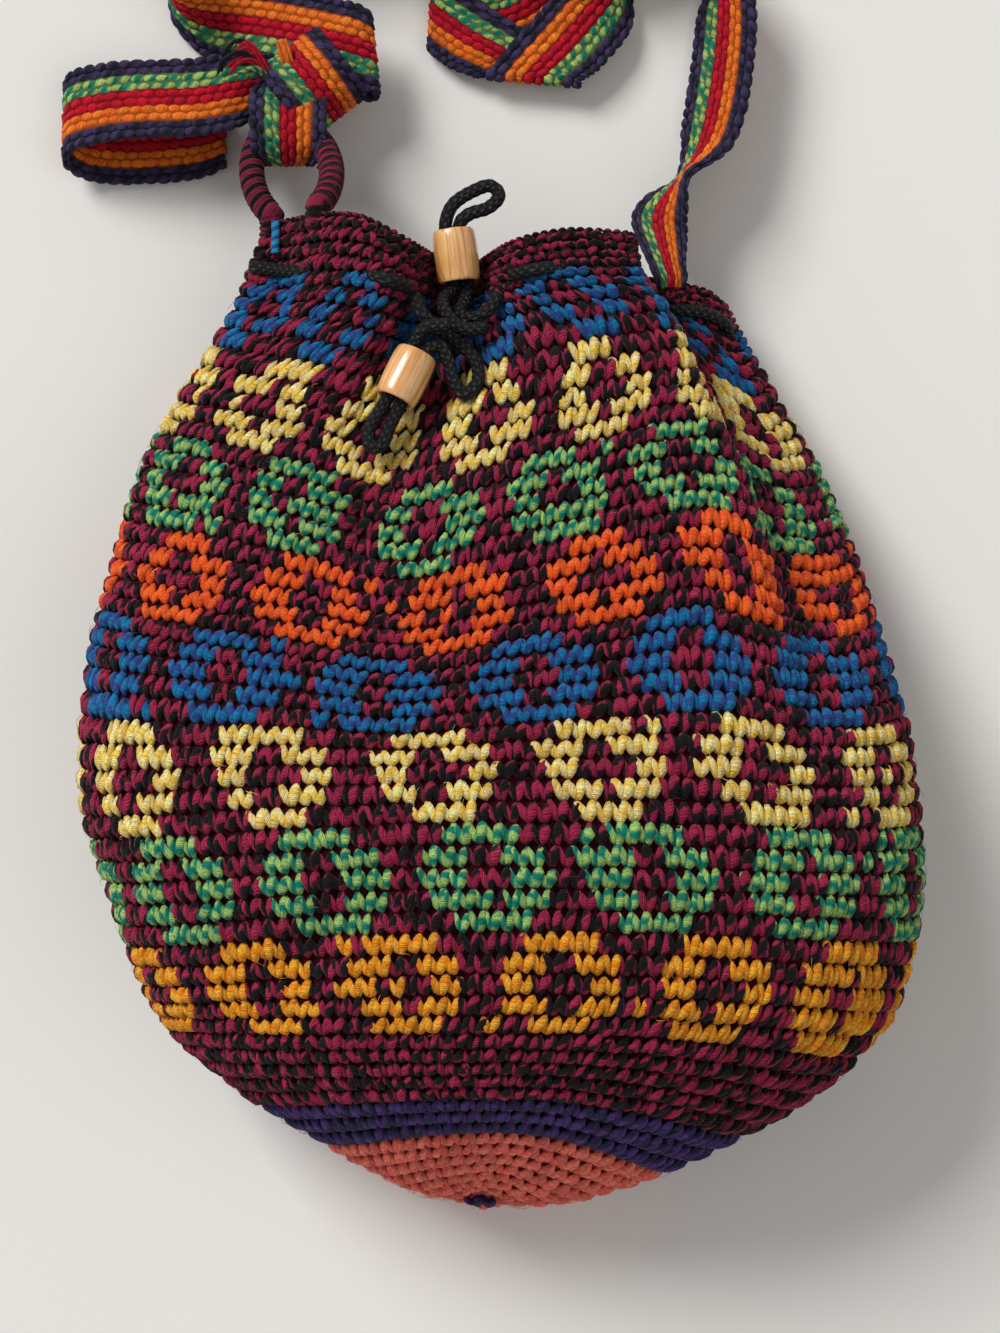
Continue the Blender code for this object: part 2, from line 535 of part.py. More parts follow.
def build_strap(collection, cutters, material):
    """Make the strap: its long run, the turn round the loop's bar and the tail, all held by one knot."""
    spacing = STRAP_STEP / MM
    near = np.vstack([smooth_route(strap_foot() + STRAP_NEAR, spacing), STRAP_FOLD])
    strap = add_object("strap", loft("strap", ribbon_rings(near)), material, collection)
    rings = []
    for step in range(1, KNOT_STEPS // 2):
        polar = 2 * math.pi * step / KNOT_STEPS
        rings.append([Vector(KNOT_CENTRE) * MM + Vector((
            KNOT_RADII[0] * MM * -math.cos(polar),
            KNOT_RADII[1] * MM * math.sin(polar) * math.cos(2 * math.pi * i / KNOT_STEPS),
            KNOT_RADII[2] * MM * math.sin(polar) * math.sin(2 * math.pi * i / KNOT_STEPS)))
            for i in range(KNOT_STEPS)])
    parts = (("strap_middle", ribbon_rings(STRAP_MIDDLE)), ("strap_knot", rings),
             ("strap_far", ribbon_rings(smooth_route(STRAP_FAR, spacing))),
             ("strap_wrap", ribbon_rings(smooth_route(STRAP_WRAP, spacing))),
             ("strap_tail", ribbon_rings(smooth_route(STRAP_TAIL, spacing))))
    for name, part_rings in parts:
        boolean(strap, as_cutter(add_object(name, loft(name, part_rings), material, cutters)), "UNION")


def build_lashing(collection, material):
    """Make the yarn that sews the strap's end to the rim, one tube in a zigzag of upright legs."""
    lift = LASHING_DIAMETER / 2 + GAP
    points = []
    for leg in range(LASHING_LEGS):
        x = LASHING_X + (leg - (LASHING_LEGS - 1) / 2) * LASHING_PITCH
        levels = LASHING_LEVELS if leg % 2 else LASHING_LEVELS[::-1]
        for level in np.linspace(*levels, 4):
            point, normal = rim_place(x, level)
            points.append(point + normal * lift)
    cord_object("strap_lashing", points, LASHING_DIAMETER / 2, material, collection)


def build_loop(collection, material):
    """Make the wrapped loop, an arch of even tube whose two feet stand on the left end of the rim."""
    radius = LOOP_TUBE / 2
    half_width, half_height = LOOP_WIDTH / 2 - radius, (LOOP_HEIGHT - LOOP_TUBE) / 2
    start = math.radians(LOOP_FOOT_ANGLE)
    spread = half_width * math.sin(start)
    left, right = (rim_place(LOOP_X + side * spread)[0] for side in (-1, 1))
    foot_y = max(left.y, right.y) + radius * math.sin(start) + GAP
    points = []
    for step in range(LOOP_STEPS + 1):
        angle = -math.pi / 2 + start + (2 * math.pi - 2 * start) * step / LOOP_STEPS
        side = half_width * math.cos(angle)
        lift = math.sin(angle) + math.cos(start)
        share = lift / (1 + math.cos(start))
        across = min(max((side / spread + 1) / 2, 0.0), 1.0)
        foot_z = right.z + (left.z - right.z) * (1 - across) - WALL / 2
        points.append((LOOP_X + LOOP_LEAN * share + side, foot_y + half_height * lift, foot_z + (LOOP_TIP_Z - foot_z) * share))
    cord_object("strap_loop", points[::-1], radius, material, collection, 3)


def build_bead(name, place, axis, material, collection):
    """Make a turned barrel bead whose bore runs along axis."""
    outer, end, bore, half = BEAD_DIAMETER / 2, BEAD_END_DIAMETER / 2, BEAD_BORE / 2, BEAD_LENGTH / 2
    profile = [(bore, half)]
    for step in range(BEAD_STEPS + 1):
        angle = math.pi / 2 - math.pi * step / BEAD_STEPS
        rise = math.copysign(abs(math.sin(angle)) ** 0.8, math.sin(angle))
        profile.append((end + (outer - end) * math.cos(angle) ** 0.6, half * rise))
    profile.append((bore, -half))
    mesh = bpy.data.meshes.new(name)
    edges = [(i, (i + 1) % len(profile)) for i in range(len(profile))]
    mesh.from_pydata([(x, 0.0, z) for x, z in profile], edges, [])
    made = add_object(name, mesh, material, collection)
    screw = made.modifiers.new("Turned", "SCREW")
    screw.steps = screw.render_steps = 24
    screw.use_merge_vertices = True
    screw.merge_threshold = 0.00001
    made.matrix_world = Matrix.Translation(place) @ axis.to_track_quat("Z", "Y").to_matrix().to_4x4()
    return made


def build():
    """Model the whole bag."""
    clear_scene()
    collection = make_collection("crochet_bucket_bag")
    cutters = make_collection("cutters")
    yarn = make_material("crochet_yarn", (0.10, 0.03, 0.05), 0.9)
    wrapped = make_material("wrapped_yarn", (0.18, 0.03, 0.06), 0.85)
    cord = make_material("braided_cord", (0.02, 0.02, 0.02), 0.7)
    webbing = make_material("striped_strap", (0.45, 0.05, 0.06), 0.85)
    wood = make_material("turned_wood", (0.75, 0.42, 0.18), 0.3)

    body = add_object("bag_body", body_mesh(), yarn, collection)
    route = rim_cord_route()
    cord_object("drawstring", route, CORD_DIAMETER / 2, cord, collection)
    cutter = cord_object("drawstring_way", route, CORD_DIAMETER / 2 + CORD_GAP * 0.8, cord, cutters)
    boolean(body, as_cutter(to_mesh_object(cutter, cutters)), "DIFFERENCE")

    build_strap(collection, cutters, webbing)
    build_lashing(collection, wrapped)
    build_loop(collection, wrapped)
    for name, place, axis in (("bead_upper", UPPER_BEAD, UPPER_AXIS), ("bead_lower", LOWER_BEAD, LOWER_AXIS)):
        build_bead(name, Vector(place) * MM, Vector(axis), wood, collection)
    for name, route in (("drawstring_upper_end", UPPER_END), ("drawstring_lower_end", LOWER_END)):
        cord_object(name, smooth_route(np.array(route) * MM, CORD_DIAMETER * 0.9), CORD_DIAMETER / 2, cord, collection)


build()
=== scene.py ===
import json
import logging
import math
from dataclasses import dataclass, field
from enum import Enum
from typing import Callable, Sequence

import bpy
import numpy as np
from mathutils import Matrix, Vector

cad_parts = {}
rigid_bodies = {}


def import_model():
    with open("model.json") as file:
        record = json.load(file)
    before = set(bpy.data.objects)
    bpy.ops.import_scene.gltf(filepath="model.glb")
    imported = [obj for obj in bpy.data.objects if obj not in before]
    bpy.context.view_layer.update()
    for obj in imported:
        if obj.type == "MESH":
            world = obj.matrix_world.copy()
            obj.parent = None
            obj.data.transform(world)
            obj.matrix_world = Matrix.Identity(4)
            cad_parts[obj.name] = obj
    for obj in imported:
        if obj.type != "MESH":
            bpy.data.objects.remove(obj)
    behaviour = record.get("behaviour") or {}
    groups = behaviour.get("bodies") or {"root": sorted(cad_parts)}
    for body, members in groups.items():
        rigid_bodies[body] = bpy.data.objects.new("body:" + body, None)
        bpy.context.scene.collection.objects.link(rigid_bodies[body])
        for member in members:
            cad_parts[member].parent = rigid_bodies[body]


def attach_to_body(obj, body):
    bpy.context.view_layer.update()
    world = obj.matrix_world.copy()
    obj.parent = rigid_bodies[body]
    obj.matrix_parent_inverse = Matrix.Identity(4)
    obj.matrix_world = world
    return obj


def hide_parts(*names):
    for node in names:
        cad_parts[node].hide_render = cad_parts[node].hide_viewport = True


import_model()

# The looks of a crochet bucket bag that lies on its back: single crochet worked in rounds of marled yarn,
# with bands of ring motifs, a gathered rim with a braided drawstring and turned beads, and a woven strap.

LOG = logging.getLogger("crochet_bag")
MM = 0.001
TAU = 2.0 * math.pi
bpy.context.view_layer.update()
SEED = 7
Values = float | Sequence[float] | np.ndarray
Table = Sequence[Sequence[float]]

# Overall size of the bag as it lies
BAG_WIDTH = 264 * MM
BAG_LENGTH = 318 * MM
BAG_DEPTH = 115 * MM

# Crocheted wall
ROUNDS = 60
WALL = 3.4 * MM

# Drawstring
CORD_DIAMETER = 4.1 * MM
CORD_GAP = 0.35 * MM
CORD_ROUND = 56.0
CORD_STEP = 2.2 * CORD_DIAMETER

# Where the drawstring starts and how far it goes round, and the stretches that lie outside, in turns round
# the bag
CORD_START, CORD_SWEEP, CORD_CROSSING = 0.508, 0.942, 0.045
OUT_SPANS = (
    (0.42, 0.512), (0.640, 0.685), (0.84, 0.88), (1.12, 1.16), (1.30, 1.345), (1.447, 1.60),
)

# Free ends of the drawstring, as points in millimetres: out of the wall, a knot, up through the bead, a loop,
# and back
UPPER_END = (
    (-0.5, 132.0, 57.0), (-3.5, 127.0, 58.5), (-9.0, 124.5, 57.0), (-12.5, 127.0, 52.5),
    (-10.8, 131.5, 47.5), (-10.3, 135.5, 46.0), (-11.1, 142.0, 46.0), (-12.0, 150.0, 46.0),
    (-12.7, 155.5, 46.0), (-9.8, 158.6, 45.8), (-3.5, 161.0, 44.5), (-0.2, 165.0, 43.5),
    (-3.0, 168.0, 43.0), (-9.0, 166.0, 43.5), (-15.0, 161.5, 45.0), (-17.1, 155.5, 46.0),
    (-16.4, 150.0, 46.0), (-15.5, 142.0, 46.0), (-14.7, 135.5, 46.3), (-17.5, 131.5, 51.0),
    (-17.0, 127.0, 57.0), (-11.5, 121.0, 61.5), (-4.0, 121.0, 63.5),
)
LOWER_END = (
    (-26.5, 131.5, 58.5), (-24.0, 125.5, 61.5), (-19.0, 121.0, 61.0), (-12.0, 116.0, 60.0),
    (-7.5, 111.0, 61.0), (-7.0, 104.0, 63.5), (-11.0, 100.5, 65.0), (-14.5, 105.0, 64.0),
    (-16.0, 111.0, 63.5), (-19.0, 115.5, 64.0), (-22.6, 113.5, 65.2), (-26.8, 104.6, 66.8),
    (-31.5, 94.8, 68.5), (-34.0, 89.5, 69.8), (-36.0, 84.5, 70.8), (-39.0, 83.5, 70.8), (-40.0, 88.5, 70.0),
    (-35.5, 96.8, 68.5), (-30.8, 106.6, 66.8), (-26.5, 115.5, 65.2), (-23.0, 120.5, 66.8),
    (-15.5, 121.5, 67.0),
)
UPPER_BEAD, UPPER_AXIS = (-13.7, 145.5, 46.0), (-0.12, 1.0, 0.0)
LOWER_BEAD, LOWER_AXIS = (-28.8, 105.6, 66.8), (0.43, 0.9, -0.16)

# Wooden beads
BEAD_LENGTH = 16.5 * MM
BEAD_DIAMETER = 13.8 * MM
BEAD_BORE = 9.8 * MM
BEAD_END_DIAMETER = 11.2 * MM

# Strap
STRAP_WIDTH = 27.5 * MM
STRAP_THICKNESS = 3.0 * MM
# Sewn end of the strap on the right part of the rim: x, round, share of the full width
STRAP_FOOT = ((54.5, 58.9, 0.38), (54.5, 60.0, 0.40))

# Lashing that sews the strap's end to the rim: thickness, legs, pitch, lowest and highest round, middle
LASHING_DIAMETER = 1.5 * MM
LASHING_LEGS = 5
LASHING_PITCH = 1.8 * MM
LASHING_LEVELS = (57.2, 58.6)
LASHING_X = 55.0 * MM

# The strap's stations: centre (x, y, z), heading and tilt of its width in degrees, share of the full width.
# The near stretch runs from the rim to the first fold, the middle one lies between the two folds, and the far
# one goes on to the knot.
STRAP_NEAR = (
    (53.5, 146.0, 26.8, -4, 6, 0.46), (52.0, 154.0, 22.5, -8, 18, 0.62), (51.5, 161.5, 18.5, -16, 40, 0.82),
    (54.5, 168.5, 16.0, -27, 64, 0.97), (59.5, 175.5, 14.8, -35, 84, 1.0), (64.5, 182.0, 14.5, -30, 68, 1.0),
    (68.0, 190.0, 13.0, -20, 52, 1.0), (70.5, 201.0, 12.5, -10, 48, 1.0), (72.5, 215.0, 12.0, -6, 48, 1.0),
    (73.5, 229.0, 12.5, -2, 52, 1.0), (72.5, 243.0, 14.0, 15, 75, 1.0), (66.0, 255.0, 14.8, 50, 88, 1.0),
    (54.0, 259.0, 14.8, 95, 88, 1.0), (44.0, 253.0, 14.8, 125, 84, 1.0), (38.5, 243.5, 13.5, 135, 60, 1.0),
    (34.0, 235.0, 11.0, 139, 25, 1.0), (28.5, 228.0, 9.2, 140, 5, 1.0), (22.0, 220.5, 8.6, 141, 0, 1.0),
)
STRAP_FOLD = ((11.0, 209.5, 8.6, 175, 0, 1.15),)
STRAP_MIDDLE = (
    (11.0, 209.3, 5.9, 175, 0, 1.15), (-1.0, 218.0, 5.4, 222, 0, 0.85), (-11.0, 223.5, 5.0, 238, 0, 0.88),
    (-22.0, 231.5, 4.5, 266, 0, 1.0),
)
STRAP_FAR = (
    (-22.0, 231.3, 1.8, 266, 0, 1.0), (-10.0, 229.5, 1.8, 278, 0, 0.9), (2.0, 230.5, 1.8, 290, 0, 0.95),
    (12.0, 235.5, 2.6, 305, 5, 1.0), (20.0, 244.0, 7.0, 325, 32, 1.0), (21.5, 253.5, 12.5, 350, 62, 1.0),
    (14.0, 260.5, 14.8, 320, 84, 1.0), (0.0, 262.0, 14.8, 270, 88, 1.0), (-22.0, 262.0, 14.8, 270, 88, 1.0),
    (-52.0, 261.0, 14.8, 270, 88, 1.0), (-76.0, 259.0, 14.8, 275, 88, 1.0),
    (-94.0, 255.0, 14.8, 290, 88, 1.0), (-105.0, 246.0, 14.8, 325, 88, 1.0),
    (-106.5, 236.0, 14.8, 380, 84, 1.0), (-101.0, 230.0, 13.0, 420, 62, 1.0),
    (-91.0, 227.5, 9.5, 436, 30, 1.0), (-78.0, 225.0, 12.0, 436, 12, 1.0),
    (-65.0, 221.5, 17.5, 437, 3, 1.0), (-54.0, 218.5, 21.0, 440, 0, 1.0), (-47.0, 216.8, 21.0, 446, 0, 1.0),
    (-41.0, 214.5, 17.6, 455, 0, 0.95), (-45.0, 211.5, 13.6, 465, 0, 0.85),
    (-52.5, 209.5, 12.6, 468, 0, 0.60), (-62.0, 207.5, 12.6, 462, 0, 0.38),
)
STRAP_WRAP = (
    (-68.0, 206.0, 17.0, 360, 0, 0.46), (-68.0, 203.0, 21.5, 360, 0, 0.52),
    (-68.0, 197.5, 25.0, 360, 0, 0.52), (-68.0, 189.5, 26.6, 360, 0, 0.52),
    (-68.0, 183.0, 24.6, 360, 0, 0.50), (-68.5, 180.3, 18.5, 360, 0, 0.48),
    (-68.5, 181.5, 11.0, 360, 0, 0.48), (-68.0, 187.5, 5.8, 360, 0, 0.52),
    (-68.0, 196.0, 4.2, 360, 0, 0.52), (-68.0, 202.0, 5.4, 360, 0, 0.50), (-68.0, 206.5, 9.5, 360, 0, 0.42),
)
STRAP_TAIL = (
    (-68.0, 207.0, 13.0, 270, 0, 0.35), (-73.0, 206.5, 13.6, 270, 0, 0.65),
    (-80.5, 204.5, 16.0, 270, 4, 0.85), (-88.0, 202.5, 19.0, 270, 10, 0.95),
    (-98.0, 200.5, 20.5, 270, 16, 1.0), (-115.0, 200.0, 20.0, 270, 17, 1.0),
    (-129.0, 199.0, 18.0, 270, 14, 1.0), (-139.5, 197.0, 13.5, 270, 10, 1.0),
    (-141.5, 193.5, 9.0, 270, 6, 1.0), (-136.0, 190.0, 4.6, 270, 0, 1.0), (-126.0, 189.0, 2.2, 270, 0, 1.0),
    (-110.0, 189.5, 2.2, 270, 0, 1.0), (-98.0, 191.0, 2.4, 270, 0, 1.0), (-90.0, 193.0, 3.0, 270, 0, 0.90),
)

# Wrapped loop on the left end of the rim
LOOP_X = -65 * MM
LOOP_FOOT_ANGLE = 38.0
LOOP_STEPS = 90
LOOP_LEAN = -4 * MM
LOOP_WIDTH = 34 * MM
LOOP_HEIGHT = 43 * MM
LOOP_TUBE = 7.8 * MM
LOOP_TIP_Z = 13 * MM

# Clearance between neighbouring pieces
GAP = 0.35 * MM
# Least height of the strap above the floor
FLOOR_GAP = 0.2 * MM

# The stations below are drawn in millimetres for a bag of this size, and the sizes above stretch them.
DRAWN_WIDTH, DRAWN_LENGTH, DRAWN_DEPTH = 264.0, 318.0, 115.0
SCALE_X = BAG_WIDTH / DRAWN_WIDTH
SCALE_Y = BAG_LENGTH / DRAWN_LENGTH
SCALE_Z = BAG_DEPTH / DRAWN_DEPTH

# Stations along the rounds: round, front (y, z), back (y, z), left edge (x, y), right edge (x, y)
STATIONS = (
    (0.0, -151.5, 33.0, -151.5, 33.0, -6.0, -151.5, -6.0, -151.5),
    (2.0, -146.5, 45.5, -157.0, 21.0, -20.0, -151.0, 9.0, -154.0),
    (4.0, -140.0, 57.5, -157.0, 8.0, -33.0, -146.5, 24.0, -152.5),
    (6.0, -132.5, 69.0, -147.5, 0.0, -44.5, -140.5, 38.0, -148.5),
    (8.0, -124.3, 80.0, -135.0, 0.0, -55.0, -133.0, 52.0, -142.5),
    (11.0, -112.0, 95.0, -116.0, 0.0, -75.5, -119.5, 76.0, -130.0),
    (13.5, -102.0, 102.0, -103.0, 0.0, -91.5, -107.5, 95.0, -119.0),
    (16.0, -91.0, 107.5, -89.0, 0.0, -103.5, -96.0, 112.0, -105.0),
    (18.5, -76.0, 112.0, -76.0, 0.0, -110.5, -85.0, 125.0, -87.0),
    (23.5, -44.6, 115.0, -49.0, 0.0, -122.0, -54.0, 131.8, -50.0),
    (28.5, -13.4, 112.0, -22.0, 0.0, -131.5, -19.0, 129.5, -15.6),
    (33.5, 12.0, 104.0, 4.7, 0.0, -128.8, 20.5, 122.5, 17.0),
    (38.5, 36.5, 94.0, 31.5, 0.0, -122.5, 48.0, 115.0, 45.0),
    (43.5, 64.5, 82.0, 58.4, 0.0, -114.5, 78.0, 106.5, 70.0),
    (48.5, 93.6, 70.0, 85.0, 0.5, -101.5, 104.0, 94.5, 95.0),
    (53.5, 127.0, 60.0, 112.0, 3.5, -84.0, 133.0, 80.5, 119.0),
    (60.0, 147.6, 56.0, 147.0, 6.5, -74.4, 158.5, 72.5, 134.0),
)

# Share of the depth at which the bag is widest, and how square its sections are, at the base and on the wall
SIDE_HEIGHT = (0.50, 0.42)
SQUARE_ACROSS = (1.0, 0.86)
SQUARE_TOP = (1.0, 0.95)
SQUARE_BOTTOM = (1.0, 0.62)
BASE_END, WALL_START = 7.0, 20.0

# Sway of the rounds across the front, as (x, rise along y), and the rounds over which it grows to its full
# size
SWAY = (
    (-130, 0), (-95, 0), (-63, -2), (-32, -8), (0, 0), (22, 5), (60, 13), (88, -2), (110, -6), (130, 0),
)
SWAY_ROUNDS = (24.0, 43.0)
# Rise of the rim's lobes over its middle, as (x, rise along y)
RIM_RISE = (
    (-80, 0), (-62, 5), (-42, 11), (-22, 5), (-8, 0), (20, 1), (42, -2), (80, 0),
)
RIM_ROUNDS = (50.0, 60.0)

# Valley in the middle of the front, as (y, x of its floor, depth)
VALLEY = (
    (175, -13, 40), (145, -13, 38), (128, -17, 31), (116, -22, 24), (106, -26, 18), (91, -31, 12),
    (68, -35, 6), (50, -44, 3), (28, -52, 0), (-170, -60, 0),
)
VALLEY_LEFT, VALLEY_LEFT_SPREAD, VALLEY_RIGHT, VALLEY_RIGHT_SPREAD = 9.5, 7.0, 10.5, 16.0

# Overlap near the right side, as (y, x of the fold's edge, drop of the surface beyond it)
OVERLAP = (
    (175, 36, 20), (144, 38, 20), (126, 49, 18), (109, 57, 15), (92, 64, 13), (75, 71, 11), (57, 76.5, 9),
    (44, 79, 7), (27, 84, 3.5), (10, 88, 0), (-170, 90, 0),
)
OVERLAP_REACH = 5.5
# The rounds beyond the fold lie further down: how far, where that begins and ends beyond the edge, and its
# rounds
OVERLAP_SHIFT = 11.0
SHIFT_FROM, SHIFT_TO, SHIFT_ROUNDS = (0.0, 16.0), (22.0, 44.0), (44.0, 55.0)
# How the surface drops beyond the fold and comes up again a little, in millimetres past the edge
DROP_DOWN, DROP_UP, DROP_BACK = (-4, 10), (10, 24), 0.1
# Where the fold pushes the surface out and where it draws it in, in millimetres past the edge, and how
# strongly
PUSH_OUT, PUSH_IN, PUSH_WIDTH, PUSH_SHARE = 2, 10, 8, 0.7
# How much of the drop the bag's outermost edge loses, and how close to that edge the drop and the push reach
EDGE_LOSS, DROP_EDGE, PUSH_EDGE = 0.35, 8, 12
# Share of the height over which the front's own forms begin above the widest part
FRONT_BLEND = 0.35

# Broad lumps and dents of the soft wall: centre (x, y), radii across and along, turn in degrees, height
LUMPS = (
    (-39, 150, 15, 62, 12, 9.0),
    (-70, 150, 9, 30, 0, -9.0),
    (22, 120, 22, 40, 0, 3.0),
    (-58, -70, 9, 52, -50, -4.5),
    (-82, -98, 22, 16, 0, 2.5),
    (62, -132, 40, 7, -14, 3.0),
    (40, -20, 50, 34, 20, 2.5),
    (-60, 20, 34, 26, -20, -2.5),
    (95, 10, 12, 40, -8, -3.0),
)

# Flat patch under the bag: how far the soft wall sinks onto it, and the rounds where it begins and ends
FLAT_SINK = 5.0
FLAT_FROM, FLAT_TO = (0.0, 6.0), (50.0, 54.0)

# Places read along a round where a place is searched for, and along a curve between two of its points
AROUND_DENSE = 480
CURVE_STEPS = 24

# Steps along a round and between rounds over which the wall's outward direction is measured
NORMAL_TURN, NORMAL_LEVEL, LOWEST_LEVEL = 0.002, 0.2, 0.05

# How far the twist of each yarn in a piece runs ahead of the one before
PHASE_STEP = 0.37


def smooth_step(value: Values, low: float, high: float) -> np.ndarray:
    """Return 0 below low, 1 above high and an even S between them."""
    share = np.clip((value - low) / (high - low), 0.0, 1.0)
    return share * share * (3.0 - 2.0 * share)


def bump(distance: Values, width: float) -> np.ndarray:
    """Return a bell of height 1 at distance 0."""
    return np.exp(-((distance / width) ** 2))


def follow(knots: Values, values: Values, at: Values) -> np.ndarray:
    """Read a smooth curve through the knots, without overshoot between them.

    Args:
        knots: The knots' places, in rising order.
        values: The value at each knot.
        at: The places to read.

    Returns:
        The value at each place, held level beyond the ends.
    """
    knots, values, at = (np.asarray(item, dtype=float) for item in (knots, values, at))
    steps = np.diff(knots)
    slopes = np.diff(values) / steps
    tangents = np.empty_like(values)
    tangents[0], tangents[-1] = slopes[0], slopes[-1]
    before, after = slopes[:-1], slopes[1:]
    same_way = before * after > 0
    total = np.where(same_way, before + after, 1.0)
    tangents[1:-1] = np.where(same_way, 2.0 * before * after / total, 0.0)
    at = np.clip(at, knots[0], knots[-1])
    index = np.clip(np.searchsorted(knots, at, side="right") - 1, 0, len(steps) - 1)
    step = steps[index]
    t = (at - knots[index]) / step
    return ((1 + 2 * t) * (1 - t) ** 2 * values[index] + t * (1 - t) ** 2 * step * tangents[index]
            + t * t * (3 - 2 * t) * values[index + 1] + t * t * (t - 1) * step * tangents[index + 1])


def column(table: Table, index: int) -> list[float]:
    """Return one column of a table of stations."""
    return [row[index] for row in table]


def by_height(table: Table, index: int, y: Values) -> np.ndarray:
    """Read a column of a table that is ordered from the rim down."""
    rows = table[::-1]
    return follow(column(rows, 0), column(rows, index), y)


def wall_surface(turn: Values, level: Values) -> np.ndarray:
    """Return points on the wall's outside.

    Args:
        turn: The share of the way round, from the middle of the back over the left side and the front (0.5).
        level: The round, from 0 at the base's centre to ROUNDS at the rim.

    Returns:
        The points, in metres.
    """
    turn, level = np.broadcast_arrays(np.asarray(turn, dtype=float), np.asarray(level, dtype=float))
    rounds = column(STATIONS, 0)
    front_y, front_z, back_y, back_z, left_x, left_y, right_x, right_y = (
        follow(rounds, column(STATIONS, i), level) for i in range(1, 9))
    wall_share = smooth_step(level, BASE_END, WALL_START)
    side, across, top, bottom = (
        pair[0] + (pair[1] - pair[0]) * wall_share
        for pair in (SIDE_HEIGHT, SQUARE_ACROSS, SQUARE_TOP, SQUARE_BOTTOM))
    angle = -math.pi / 2 - 2 * math.pi * turn
    cosine, sine = np.cos(angle), np.sin(angle)
    width = np.sign(cosine) * np.abs(cosine) ** across
    height = np.where(sine >= 0, side + (1 - side) * np.abs(sine) ** top,
                      side * (1 - np.abs(sine) ** bottom))
    centre, half = (left_x + right_x) / 2, (right_x - left_x) / 2
    x = centre + half * width
    edge_y = np.where(width < 0, left_y, right_y)
    y = (back_y + (front_y - back_y) * height) * (1 - width ** 2) + edge_y * width ** 2
    z = back_z + (front_z - back_z) * height

    front = smooth_step(height, side, side + FRONT_BLEND)
    y = y + front * smooth_step(level, *SWAY_ROUNDS) * follow(*zip(*SWAY), x)
    y = y + front * smooth_step(level, *RIM_ROUNDS) * follow(*zip(*RIM_RISE), x)
    for lump_x, lump_y, across_r, along_r, degrees, rise in LUMPS:
        c, s = math.cos(math.radians(degrees)), math.sin(math.radians(degrees))
        dx, dy = x - lump_x, y - lump_y
        across_bell = bump((dx * c + dy * s) / across_r, 1.0)
        along_bell = bump((dy * c - dx * s) / along_r, 1.0)
        z = z + front * rise * across_bell * along_bell

    floor_x, depth = by_height(VALLEY, 1, y), by_height(VALLEY, 2, y)
    offset = x - floor_x
    shallow = 1 - depth / max(column(VALLEY, 2))
    reach = np.where(offset < 0, VALLEY_LEFT + VALLEY_LEFT_SPREAD * shallow,
                     VALLEY_RIGHT + VALLEY_RIGHT_SPREAD * shallow)
    z = z - front * depth * bump(offset / reach, 1.0)

    edge_x, drop = by_height(OVERLAP, 1, y), by_height(OVERLAP, 2, y)
    beyond = x - edge_x
    upper = smooth_step(height, 0.0, side) * (1 - EDGE_LOSS * np.abs(width) ** DROP_EDGE)
    inside = front * (1 - np.abs(width) ** PUSH_EDGE)
    shift = smooth_step(beyond, *SHIFT_FROM) * (1 - smooth_step(beyond, *SHIFT_TO))
    y = y - front * OVERLAP_SHIFT * (shift * smooth_step(level, *SHIFT_ROUNDS))
    z = z - upper * drop * ((1 + DROP_BACK) * smooth_step(beyond, *DROP_DOWN)
                            - DROP_BACK * smooth_step(beyond, *DROP_UP))
    push = OVERLAP_REACH * np.sqrt(drop / max(column(OVERLAP, 2)))
    x = x + inside * push * (bump(beyond + PUSH_OUT, PUSH_WIDTH)
                             - PUSH_SHARE * bump(beyond - PUSH_IN, PUSH_WIDTH))
    flat = smooth_step(level, *FLAT_FROM) * (1 - smooth_step(level, *FLAT_TO))
    z = np.maximum(z - FLAT_SINK * (1 - height) * flat, 0.0)
    return np.stack([x * SCALE_X, y * SCALE_Y, z * SCALE_Z], axis=-1)


def wall_normal(turn: Values, level: Values) -> np.ndarray:
    """Return the wall's outward directions.

    Args:
        turn: The share of the way round, as for wall_surface.
        level: The round, as for wall_surface.

    Returns:
        One unit vector for each place.
    """
    level = np.asarray(level, dtype=float)
    low, high = (np.clip(level + step, LOWEST_LEVEL, ROUNDS) for step in (-NORMAL_LEVEL, NORMAL_LEVEL))
    around = wall_surface(turn + NORMAL_TURN, level) - wall_surface(turn - NORMAL_TURN, level)
    along = wall_surface(turn, high) - wall_surface(turn, low)
    normal = np.cross(around, along)
    return normal / np.maximum(np.linalg.norm(normal, axis=-1, keepdims=True), 1e-12)


def rim_place(x: float, level: float = ROUNDS) -> tuple[Vector, Vector]:
    """Find a place on the front of the wall.

    Args:
        x: The place's x, in metres.
        level: The place's round.

    Returns:
        The point and its outward direction.
    """
    turn = np.linspace(0.25, 0.75, AROUND_DENSE)
    points = wall_surface(turn, level)
    nearest = int(np.argmin(np.abs(points[:, 0] - x)))
    return Vector(points[nearest]), Vector(wall_normal(turn[nearest:nearest + 1], level)[0])


